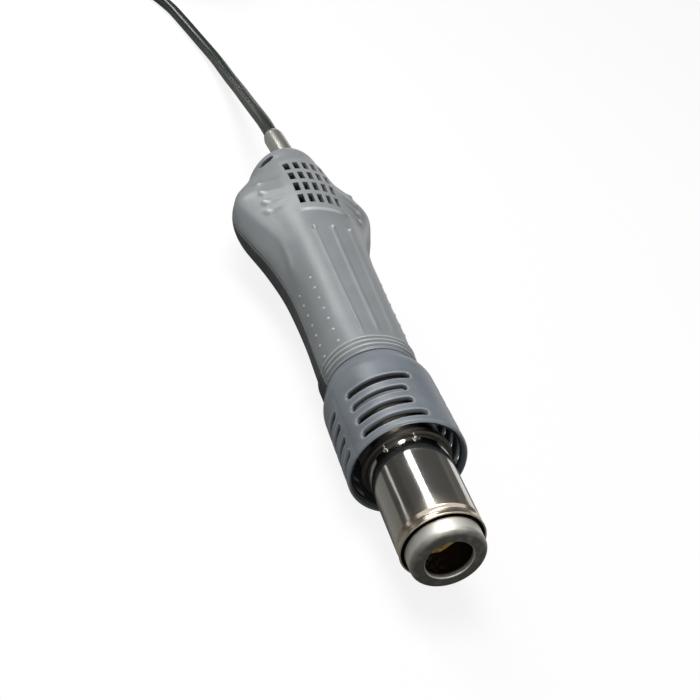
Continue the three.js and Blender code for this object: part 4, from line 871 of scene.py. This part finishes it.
def section(y, angle):
    """Radius of the handle before its rear is domed: the spine's and the lobes' ovals, blended by the 7th
    root of the sum of their 7th powers. A lobe's angle is counted from its own turned-up axis."""
    above = np.sin(angle) >= 0
    height = np.where(above, through(CREST, y), through(BELLY, y))
    spine = oval(through(SPINE_SIDE, y), height, angle, np.where(above, through(CREST_POWER, y), 2))
    from_side = np.arctan2(np.sin(angle), np.abs(np.cos(angle))) - np.radians(through(LOBE_TILT, y))
    lobe = oval(through(LOBE_SIDE, y), through(LOBE_HEIGHT, y), from_side)
    return (spine**BLEND_POWER + lobe**BLEND_POWER) ** (1 / BLEND_POWER)


def dome(y):
    """Factor that closes the rear: (1 - t^p)^(1/p), t running from 0 where it starts to 1 at the end."""
    into = np.clip((y - DOME_Y) / (HANDLE_END_Y - DOME_Y), 0, 1)
    return (1 - into**DOME_POWER) ** (1 / DOME_POWER)


def strip_turn(y):
    """Angle between neighbouring crest strips: their pitch, wider to the rear, over the crest's height."""
    pitch = np.interp(y, [STRIP_FROM_Y, STRIP_TO_Y], [STRIP_PITCH_FRONT, STRIP_PITCH_BACK])
    return pitch / through(CREST, np.minimum(y, STRIP_TO_Y))


def bump_at(value, middle, half):
    """A rounded bump, cos squared, of the given half width."""
    return np.cos(np.clip((value - middle) / half, -1, 1) * np.pi / 2) ** 2


def relief(y, angle, radius):
    """Height of what is moulded on the skin: rings, crest strips with a knob at their rear, vent pad and
    finger ridges, each a product of smooth steps."""
    high = RING_HEIGHT * np.max([bump_at(y, middle, RING_HALF) for middle in RING_YS], axis=0)
    high = high * (0.2 + 0.8 * smooth(np.abs(radius * np.sin(angle)), 0.3, 3))
    turn = np.pi / 2 - angle
    for index in (-1, 0, 1):
        across = (turn - index * strip_turn(y)) * radius
        knob_y = STRIP_TO_Y - 1
        away = np.hypot(across, np.maximum(0, y - knob_y))
        foot = 1.15 if index == 0 else 0.95
        strip = STRIP_HEIGHT * smooth(y, STRIP_FROM_Y, STRIP_FROM_Y + 5) * smooth(away, foot, 0.1)
        knob = KNOB_HEIGHT * smooth(np.hypot(across, y - knob_y), 1.3, 0)
        high = high + strip + knob
    x = radius * np.sin(turn)
    pad = smooth(y, PAD_Y - 0.7, PAD_Y + 0.7) * smooth(y, PAD_END_Y, PAD_END_Y - 6)
    pad = pad * smooth(np.abs(x), PAD_HALF + 3.5, PAD_HALF - 0.5)
    high = high + PAD_HEIGHT * pad * (np.sin(angle) > 0)
    side = np.degrees(np.abs(turn)) + 90
    above = np.sin(angle) > 0
    for middle, end in FINGERS:
        around = smooth(side, end + 3.5, end) * smooth(side, end - 30, end - 3)
        high = high + FINGER_HEIGHT * around * np.exp(-(((y - middle) / FINGER_HALF) ** 2)) * above
        from_end = np.hypot(np.radians(side - end) * radius, y - middle)
        high = high + FINGER_KNOB_HEIGHT * np.exp(-((from_end / FINGER_HALF) ** 2)) * above
    high = high - DIMPLE_DEPTH * smooth(np.hypot(x - DIMPLE[0], y - DIMPLE[1]), DIMPLE_R, 0.1) * above
    off = (side - through(SHOULDER_LINE, y)) / 8
    shoulder = np.exp(-(off**2)) * smooth(y, *SHOULDER_RISE) * smooth(y, *SHOULDER_FALL)
    return high + SHOULDER_HEIGHT * shoulder * above * smooth(side, 178, 170)


def gloss_and_highlight_share(y, angle):
    """How far the skin is glossy from wear and painted pale as a highlight, 0 to 1: by the height of what is
    moulded on it, and along the vent pad's front edge."""
    radius = section(y, angle)
    # The vent pad's front edge is painted pale as a highlight
    pad_edge = bump_at(y, PAD_Y, 1.1) * smooth(np.abs(radius * np.cos(angle)), PAD_HALF + 1, PAD_HALF - 3)
    return np.maximum(smooth(relief(y, angle, radius), 0.3, 0.85), 0.8 * pad_edge)


def handle_skin(y, angle, low=-100, high=100, share=1):
    """Points of the handle's outside at rows y and angles, kept between two heights: the section with a
    share of its relief, closed by the dome."""
    plain = section(y, angle)
    points = polar((plain + share * relief(y, angle, plain)) * dome(y), y, angle)
    points[..., 2] = np.clip(points[..., 2], low, high)
    return points


def handle_inside(y, angle, low, high):
    """The handle's inside: its outside without relief, moved in by the wall along the surface's normal."""
    plain = handle_skin(y, angle, low, high, share=0)
    normal = np.cross(np.gradient(plain, axis=0), np.gradient(plain, axis=1))
    length = np.linalg.norm(normal, axis=-1, keepdims=True)
    normal = np.where(length > 1e-6, normal / np.maximum(length, 1e-9), (0.0, 1.0, 0.0))
    inner = plain - SHELL_WALL * normal
    inner[..., 2] = np.clip(inner[..., 2], low, high)
    return inner


def holed(y, angle, low, high, cuts):
    """The handle's skin between two heights with slots cut through it: its points and faces, and each
    point's partner on the inside."""
    grid = handle_skin(y, angle, low, high)
    inwards = handle_inside(y, angle, low, high) - grid
    clear = np.full(y.shape, np.inf)
    for cut in cuts:
        grid, hole = cut_through(grid, **cut)
        clear = np.minimum(clear, hole)
    points, quads = skin(grid, wrap=False, outside=clear)
    return points, quads, points + inwards.reshape(-1, 3)


def dome_rows():
    """Rows of the rear dome, closer together where it rounds off: a quarter sine."""
    return DOME_Y + (HANDLE_END_Y - DOME_Y) * np.sin(np.linspace(0, np.pi / 2, 46)[1:])


# How many strips to either side the upper columns follow, and how wide a strip's columns are behind them
STRIP_REACH = 1.5
VENT_COLUMN_X = through(CREST, STRIP_TO_Y) * np.sin(strip_turn(STRIP_TO_Y))


def crest_angles(y, column):
    """Angle of each upper column. Columns count crest strips from the middle, so a strip keeps its columns;
    behind the strips they keep their x instead, so that the vents are straight. Past STRIP_REACH strips
    they are spread evenly to the parting line."""
    inner = np.clip(column, -STRIP_REACH, STRIP_REACH)
    turn = inner * strip_turn(y)
    x = inner * VENT_COLUMN_X
    straight = turn
    for _ in range(5):
        straight = np.arcsin(x / section(y, np.pi / 2 - straight))
    turn = turn + (straight - turn) * smooth(y, STRIP_TO_Y + 1, PAD_Y)
    past = np.clip(np.abs(column) - STRIP_REACH, 0, 1)
    turn = turn + np.sign(column) * past * (np.pi / 2 - np.abs(turn))
    return np.pi / 2 - turn


def upper_columns():
    """Columns in counts of strips: the vents' edges, the strips' flanks, then evenly to the parting line."""
    vents = np.concatenate([VENT_XS - VENT_WIDTH / 2, VENT_XS + VENT_WIDTH / 2]) / VENT_COLUMN_X
    offsets = np.array([-0.16, -0.13, -0.1, -0.07, 0, 0.07, 0.1, 0.13, 0.16])
    flanks = np.concatenate([offsets + index for index in (-1, 0, 1)])
    flanks = flanks[np.abs(flanks[:, None] - vents).min(axis=1) > 0.025]
    inner = filled([*vents, *flanks, -STRIP_REACH, STRIP_REACH], 0.085)
    past = np.linspace(0, 1, 42)[1:] + STRIP_REACH
    return np.concatenate([-past[::-1], inner, past])


def in_vents(edges, middles, size):
    """Which cells, each between two neighbouring edges, lie in a vent of that size."""
    cell = (edges[1:] + edges[:-1]) / 2
    return (np.abs(cell[:, None] - middles) < size / 2).any(axis=1)


def upper_shell():
    """The vented half: rows and columns meet the vents' edges, and cells inside a vent are left out."""
    knobs_y, behind_y = STRIP_TO_Y - 3, STRIP_TO_Y + 2
    vent_edges = [*(VENT_YS - VENT_LENGTH / 2), *(VENT_YS + VENT_LENGTH / 2)]
    rows = np.concatenate([filled([HANDLE_Y, RINGS_END_Y], 0.25), filled([RINGS_END_Y, knobs_y], 1.4)[1:],
                           filled([knobs_y, behind_y], 0.2)[1:],
                           filled([behind_y, *vent_edges, DOME_Y], 0.6)[1:], dome_rows()])
    columns = upper_columns()[::-1]
    y, angle = np.broadcast_arrays(rows[:, None], crest_angles(rows[:, None], columns))
    cuts = [dict(way_in=(0, np.cos(EXIT_TILT), np.sin(EXIT_TILT)), centre=(0, EXIT_Y, EXIT_Z), half=0,
                 radius=EXIT_HOLE_R, reach=0.4, near=12)]
    for x in (-REAR_SLOT_X, REAR_SLOT_X):
        cuts.append(dict(way_in=(0, 0, 1), centre=(x, REAR_SLOT_Y, 0), half=REAR_SLOT_HALF - REAR_SLOT_R,
                         radius=REAR_SLOT_R, reach=0.26, near=3))
    points, quads, inside = holed(y, angle, GAP / 2, 100, cuts)
    in_column = in_vents(columns * VENT_COLUMN_X, VENT_XS, VENT_WIDTH)
    vent_cell = in_vents(rows, VENT_YS, VENT_LENGTH)[:, None] & in_column
    first_corner = np.arange(y.size).reshape(y.shape)[:-1, :-1]
    in_vent = np.isin(quads[:, 0], first_corner[vent_cell])
    return piece("upper_shell_skin", (points, quads[~in_vent]), PLASTIC, edge=0.22,
                 replaces=["upper_shell"], inside=inside, rubbed_highlight_shade=gloss_and_highlight_share(y, angle))


def lower_shell():
    """The belly half: flat where it rests, with four round screw wells through it."""
    rows = np.concatenate([filled([HANDLE_Y, RINGS_END_Y], 0.25), filled([RINGS_END_Y, DOME_Y], 0.75)[1:],
                           dome_rows()])
    y, angle = np.broadcast_arrays(rows[:, None], np.radians(np.linspace(180, 360, 116)))
    wells = [dict(way_in=(0, 0, 1), centre=(x, well_y, 0), half=0, radius=WELL_R, reach=0.45,
                  near=WELL_R + 3) for x, well_y, _ in SCREW_WELLS]
    points, quads, inside = holed(y, angle, FLOOR_Z, -GAP / 2, wells)
    # The attribute paints a highlight along the top edge
    return piece("lower_shell_skin", (points, quads), LOWER_PLASTIC_PAINTED_SHADE, edge=0.22,
                 replaces=["lower_shell"], inside=inside, rubbed_highlight_shade=smooth(points[:, 2], -0.9, -0.3))


def belly_z(x, y):
    """Height of the belly's skin at (x, y): the angle whose radius times cosine is x, by repetition."""
    first_radius = 20
    angle = -np.arccos(np.clip(x / first_radius, -1, 1))
    for _ in range(30):
        angle = -np.arccos(np.clip(x / section(y, angle), -1, 1))
    return section(y, angle) * np.sin(angle)


def screw_well_tubes():
    """Round walls of the screw wells. Their mouths follow the belly's skin a little inside it, and they end
    in a seat under each screw's head."""
    around = circle(48)
    bore, wall_r, mouth_in = 1.3, WELL_R + 0.9, 0.5
    shapes = []
    for x, y, head_z in SCREW_WELLS:
        rows = []
        top = head_z + 2
        for r, height in [(WELL_R, None), (WELL_R, head_z + GAP), (bore, head_z + GAP), (bore, top),
                          (wall_r, top), (wall_r, None), (WELL_R, None)]:
            ring_x, ring_y = x + r * np.cos(around), y + r * np.sin(around)
            z = belly_z(ring_x, ring_y) + mouth_in if height is None else np.full(len(around), height)
            rows.append(np.stack([ring_x, ring_y, np.minimum(z, top)], axis=1))
        shapes.append(skin(np.array(rows)))
    return piece("screw_wells", together(shapes), LOWER_PLASTIC_PAINTED_SHADE)


def spigot():
    """The neck inside the guard that both shells form: a ring with three bosses for the barrel's screws."""
    bore, end = SPIGOT_R - SPIGOT_WALL, HANDLE_Y + 0.6
    hole, boss_end = 0.9, SPIGOT_Y + 8
    ring = turned([[bore, SPIGOT_Y], [SPIGOT_R - 0.3, SPIGOT_Y], [SPIGOT_R, SPIGOT_Y + 0.3],
                   [SPIGOT_R, end], [bore, end], [bore, SPIGOT_Y]], 96)
    boss = turned([[hole, SPIGOT_Y], [BOSS_R, SPIGOT_Y], [BOSS_R, boss_end], [hole, boss_end],
                   [hole, SPIGOT_Y]], 32)
    bosses = [skin(boss + polar(SCREW_CIRCLE_R, 0, angle)) for angle in np.radians(BARREL_SCREW_ANGLES)]
    return piece("handle_spigot", together([skin(ring), *bosses]), PLASTIC)


def grip_dots():
    """Small raised dots in two rows on each side of the neck: caps of a cosine profile on the skin."""
    rise = np.linspace(0, np.pi / 2, 6)
    flat = DOT_R * np.cos(rise)[:, None]
    up = (DOT_HEIGHT * np.sin(rise) - 0.05)[:, None, None]
    around = circle(14)
    shapes = []
    for degrees, first, last in DOT_ROWS:
        for angle in np.radians([degrees, 180 - degrees]):
            for y in np.linspace(first, last, DOTS_PER_ROW):
                at, behind, beside = handle_skin(y + np.array([0, 0.1, 0]), angle + np.array([0, 0, 0.01]))
                along, across = unit(behind - at), unit(beside - at)
                out = np.cross(along, across)
                out *= np.sign(out @ polar(1, 0, angle))
                grid = at + up * out + (flat * np.cos(around))[..., None] * across
                shapes.append(skin(grid + (flat * np.sin(around))[..., None] * along))
    dots = together(shapes)
    # The dots are made glossier and painted pale as highlights
    return piece("grip_dots", dots, PLASTIC, rubbed_highlight_shade=np.full(len(dots[0]), 0.7))


# Guard, barrel and heater


def front_guard():
    """The slotted guard: a turned skin whose grid is (arc length, y); slots are cut as thick lines round it,
    and a faint crease runs along one side where its mould closed."""
    profile = [[GUARD_Y, GUARD_R], [49, GUARD_R - 0.2], [62.5, GUARD_R - 0.4], [65.6, 17.6], [68.8, 16.6],
               [71.6, 15.15], [GUARD_END_Y, 15.1]]
    end = SLOT_WIDTH / 2
    rim = GUARD_Y + GUARD_RIM * np.array([0, 0.06, 0.2, 0.4, 0.7, 1])
    rows = filled([*rim, *(SLOT_YS - end), *SLOT_YS, *(SLOT_YS + end), GUARD_END_Y], 0.45)
    around, y = np.broadcast_arrays(circle(240) * GUARD_R, rows[:, None])
    slots = []
    for group in SLOT_GROUP_ANGLES:
        for row, slot_y in enumerate(SLOT_YS):
            loss = SHORT_SLOT_LOSS if group == SHORT_SLOT_GROUP and row in SHORT_SLOT_ROWS else 0
            low = np.radians(group - SLOT_SPAN / 2 + loss) * GUARD_R + end
            high = np.radians(group + SLOT_SPAN / 2) * GUARD_R - end
            slots += [(low - back, slot_y, high - back, slot_y, end) for back in (0, 2 * np.pi * GUARD_R)]
    around, y, clear = snapped(around, y, slots, reach=0.26)
    turn = around / GUARD_R
    crease_depth, crease_angle = 0.12, 167.5
    crease = crease_depth * bump_at(np.degrees(turn), crease_angle, 2) * smooth(y, 64, 60)
    to_rim = np.clip(1 - (y - GUARD_Y) / GUARD_RIM, 0, 1)
    radius = through(profile, y) - crease - GUARD_RIM * (1 - np.sqrt(1 - to_rim**2))
    # Glossier and painted pale as a highlight round the slots and along the front rim
    rim_gloss_and_highlight = np.maximum(smooth(clear, 0.8, 0.1), 0.5 * smooth(y, GUARD_Y + 1.3, GUARD_Y + 0.3))
    return piece("front_guard_skin", skin(polar(radius, y, turn), outside=clear), GUARD_PLASTIC,
                 wall=GUARD_WALL, edge=0.32, segments=3, replaces=["front_guard"], rubbed_highlight_shade=rim_gloss_and_highlight)


def barrel():
    """Thin straight barrel with a bead pressed in behind its front edge, which flares a little."""
    y = filled([BARREL_Y, BARREL_Y + 0.5, BEAD_Y - 1.2, BEAD_Y, BEAD_Y + 1.2, BARREL_END_Y], 0.2)
    y = y[(y < BEAD_Y + 3) | (np.arange(len(y)) % 10 == 0) | (y == y[-1])]
    radius = BARREL_R - BEAD_DEPTH * bump_at(y, BEAD_Y, 1.1) + 0.12 * smooth(y, BARREL_Y + 1.2, BARREL_Y)
    return piece("barrel_tube_skin", skin(turned(np.stack([radius, y], axis=1), 160)), BARREL_STEEL,
                 wall=BARREL_WALL, edge=0.15, replaces=["barrel_tube"])


def barrel_flange():
    """Plate behind the barrel with three screw ears: its outline is the larger of the barrel's circle and
    each ear's circle."""
    thick = 1.2
    angle = circle(240)
    reach = np.full(len(angle), BARREL_R + 0.05)
    for ear in np.radians(BARREL_SCREW_ANGLES):
        off = SCREW_CIRCLE_R * np.sin(angle - ear)
        inside = np.clip(BOSS_R**2 - off**2, 0, None)
        ear_r = SCREW_CIRCLE_R * np.cos(angle - ear) + np.sqrt(inside)
        reach = np.where((inside > 0) & (np.cos(angle - ear) > 0), np.maximum(reach, ear_r), reach)
    share = np.linspace(0, 1, 4)[:, None]
    grid = polar((BARREL_R - BARREL_WALL) * (1 - share) + reach * share, BARREL_END_Y - thick, angle)
    return piece("barrel_flange", skin(grid), BARREL_STEEL, wall=thick, edge=0.12)


def barrel_collar():
    """Ring on the barrel in the guard's mouth, with two bent tabs."""
    inner, front, r = BARREL_R + 0.05, COLLAR_Y + 1.7, 0.3
    profile = outline([inner, front], [inner, COLLAR_END_Y],
                      arc((COLLAR_R - r, COLLAR_END_Y - r), r, 90, 0, 3),
                      arc((COLLAR_R - r, front + r), r, 0, -90, 3), [inner, front])
    piece("barrel_collar_ring", skin(turned(profile[::-1], 96)), DARK_STEEL, edge=0.1,
          replaces=["barrel_collar"])
    tabs = [block((inner, COLLAR_Y, -0.4), (inner + 0.9, COLLAR_Y + 2.2, 0.4), turn) for turn in (102, 144)]
    piece("barrel_collar_tabs", together(tabs), NICKEL, edge=0.2)


def nozzle_tip():
    """Cap over the heater: a straight side, a rounded edge, a narrow face, and a hole whose lip rolls in."""
    face_r = TIP_R - TIP_EDGE
    lip = 0.5
    profile = outline([TIP_HOLE_R, lip + 1.4], arc((TIP_HOLE_R + lip, lip), lip, 180, 270, 6),
                      arc((face_r, TIP_EDGE), TIP_EDGE, 270, 360, 12), [TIP_R, 7], [TIP_R, TIP_END_Y])
    return piece("nozzle_tip_skin", skin(turned(profile, 160)), TIP_STEEL, wall=TIP_WALL,
                 edge=0.08, replaces=["nozzle_tip"])


def mica_sleeve():
    """Sleeve of rolled sheet round the heater, its radius wavering by a few sines."""
    y = np.linspace(MICA_Y, MICA_END_Y, 40)[:, None]
    angle = circle(120)
    waver = 0.06 * np.sin(5 * angle + 0.3 * y) + 0.05 * np.sin(11 * angle - 0.5 * y)
    radius = MICA_R - 0.15 + waver * smooth(y, MICA_Y + 8, MICA_Y)
    edge_y = y + 0.35 * np.sin(7 * angle) * smooth(y, MICA_Y + 3, MICA_Y)
    return piece("mica_roll", skin(polar(radius, edge_y, angle)), MICA, wall=0.35,
                 replaces=["mica_sleeve"])


def heater_coil():
    """Heating wire: a fine helix wound round a larger helix that lies on the core's arms."""
    big_turns, big_r = 9, 8.75
    fine_turns, fine_r = 60, 0.6
    wire_r = 0.17
    t = np.linspace(0, 1, big_turns * fine_turns * 8 + 1)
    big = t * big_turns * 2 * np.pi
    fine = t * big_turns * fine_turns * 2 * np.pi
    ray = polar(np.cos(fine), np.sin(fine), big)
    line = polar(big_r, COIL_LOW_Y + 1 + (COIL_HIGH_Y - COIL_LOW_Y - 2) * t, big) + fine_r * ray
    along = unit(np.gradient(line, axis=0))
    side = unit(np.cross(ray, along))
    ray = np.cross(along, side)
    turn = circle(5)[:, None]
    grid = line[:, None] + wire_r * (np.cos(turn) * ray[:, None] + np.sin(turn) * side[:, None])
    return piece("heater_winding", skin(grid), HEAT_WIRE, replaces=["heater_coil"])


def cord_ferrule():
    """Nickel sleeve on the cord: a straight tube whose rear end is drawn in to a cone with a rolled lip."""
    bore, radius = CORD_R + 0.12, 4.0
    cone = FERRULE_TO - 2.6
    profile = outline([bore, FERRULE_FROM], [radius, FERRULE_FROM], [radius, FERRULE_FROM + 6],
                      [radius, cone], arc((radius - 1.2, cone), 1.2, 0, 25, 4),
                      arc((bore + 0.35, FERRULE_TO - 0.3), 0.3, 20, 90, 4), [bore, FERRULE_TO],
                      [bore, FERRULE_FROM])
    return piece("cord_sleeve", skin(on_exit(turned(profile, 96))), SATIN_NICKEL,
                 replaces=["cord_ferrule"])


# Stage


def mixed_for_camera(f, plain, shown):
    """The shown shader for camera, glossy and transmission rays, and the plain one for the rest."""
    seen = f.node("ShaderNodeLightPath", output="Is Camera Ray")
    for name in ("Is Glossy Ray", "Is Transmission Ray"):
        ray = f.node("ShaderNodeLightPath", output=name)
        seen = f.node("ShaderNodeMath", {"operation": "MAXIMUM"}, {0: seen, 1: ray})
    return f.node("ShaderNodeMixShader", values={0: seen, 1: plain, 2: shown})


def sheets(name, corners, material):
    """Flat sheets from four corners each, in metres."""
    mesh = bpy.data.meshes.new(name)
    mesh.from_pydata(corners, [], np.arange(len(corners)).reshape(-1, 4).tolist())
    mesh.materials.append(material)
    return linked(name, mesh)


def floor():
    """A wide pale floor: white to the camera, with a share of real shading near the object so that it keeps
    the shadow; the share fades out with the distance."""
    f = Finish("floor_white")
    white = (1, 1, 1, 1)
    away = f.node("ShaderNodeVectorMath", {"operation": "LENGTH"}, {0: f.place}, "Value")
    values = {"Value": away, "From Min": 0.5, "From Max": 1.6, "To Min": 0.14, "To Max": 0}
    share = f.node("ShaderNodeMapRange", values=values)
    plain = f.node("ShaderNodeBsdfDiffuse", values={"Color": (0.3, 0.3, 0.3, 1)})
    shaded = f.node("ShaderNodeBsdfDiffuse", values={"Color": white})
    glow = f.node("ShaderNodeEmission", values={"Color": white})
    light = f.node("ShaderNodeMixShader", values={0: share, 1: glow, 2: shaded})
    f.close(mixed_for_camera(f, plain, light))
    size = 6.0
    corners = [(-size, -size, 0), (size, -size, 0), (size, size, 0), (-size, size, 0)]
    ground = sheets("floor", corners, f.made)
    ground.location.z = -0.0003


def world():
    """Even soft light on everything, and a white background for camera and reflections."""
    f = Finish("studio", "worlds")
    bpy.context.scene.world = f.made
    plain = f.node("ShaderNodeBackground", values={"Strength": 0.08})
    white = f.node("ShaderNodeBackground", values={"Color": (1, 1, 1, 1)})
    f.close(mixed_for_camera(f, plain, white), "ShaderNodeOutputWorld")


def softbox(name, at, towards, width, height, watts):
    """A rectangular lamp that faces a point, both in handset millimetres."""
    data = bpy.data.lights.new(name, "AREA")
    put(data, shape="RECTANGLE", size=width, size_y=height, energy=watts)
    start = place(at)
    back = unit(start - place(towards))
    side = unit(np.cross((0, 0, 1), back))
    turn = Matrix((side, np.cross(back, side), back)).transposed().to_4x4()
    linked(name, data).matrix_world = Matrix.Translation(start) @ turn


def dark_cards():
    """Dark cards that only reflections see, as a studio puts them up to shape metal: a large one behind the
    handset, one on the floor under it, one along its right, and a low one along its left with a slit that
    draws the barrel's second streak."""
    back, half, top = 1700, 3000, 2600
    left, right, front, rear = -62, 75, -80, 420
    low, high = FLOOR_Z + 0.2, 34
    slit_low, slit_high = 0.6, 7.6
    right_low, right_high = 14, 60

    def upright(x, z0, z1):
        return [[x, front, z0], [x, rear, z0], [x, rear, z1], [x, front, z1]]

    far = FLOOR_Z + 40
    corners = [[-half, back, far], [half, back, far], [half, back, top], [-half, back, top],
               [left, front, low], [right, front, low], [right, rear, low], [left, rear, low],
               *upright(left, low, slit_low), *upright(left, slit_high, high),
               *upright(right, right_low, right_high)]
    f = Finish("dark_card")
    f.surface(Base_Color=(0.13, 0.128, 0.12), Emission_Color=(0.05, 0.049, 0.046, 1), Emission_Strength=1)
    made = sheets("dark_cards", place(corners).tolist(), f.made)
    put(made, visible_camera=False, visible_diffuse=False, visible_shadow=False)


def lights():
    """A softbox overhead, a narrow one to the rear left that draws the streak on the barrel, and a faint
    one in front that reaches into the tip."""
    softbox("overhead", (-170, 280, 900), (0, 120, 0), 0.5, 0.45, 7.2)
    softbox("rear_left", (-495, 1185, 855), (0, 80, 0), 0.22, 0.85, 6)
    softbox("front", (-350, -520, 450), (0, 0, 0), 0.2, 0.2, 1.1)


for make in (camera, cord, dress_solids, upper_shell, lower_shell, screw_well_tubes, spigot, grip_dots,
             front_guard, barrel, barrel_flange, barrel_collar, nozzle_tip, mica_sleeve, heater_coil,
             cord_ferrule, floor, world, lights, dark_cards):
    make()
bpy.context.scene.view_settings.view_transform = "Standard"
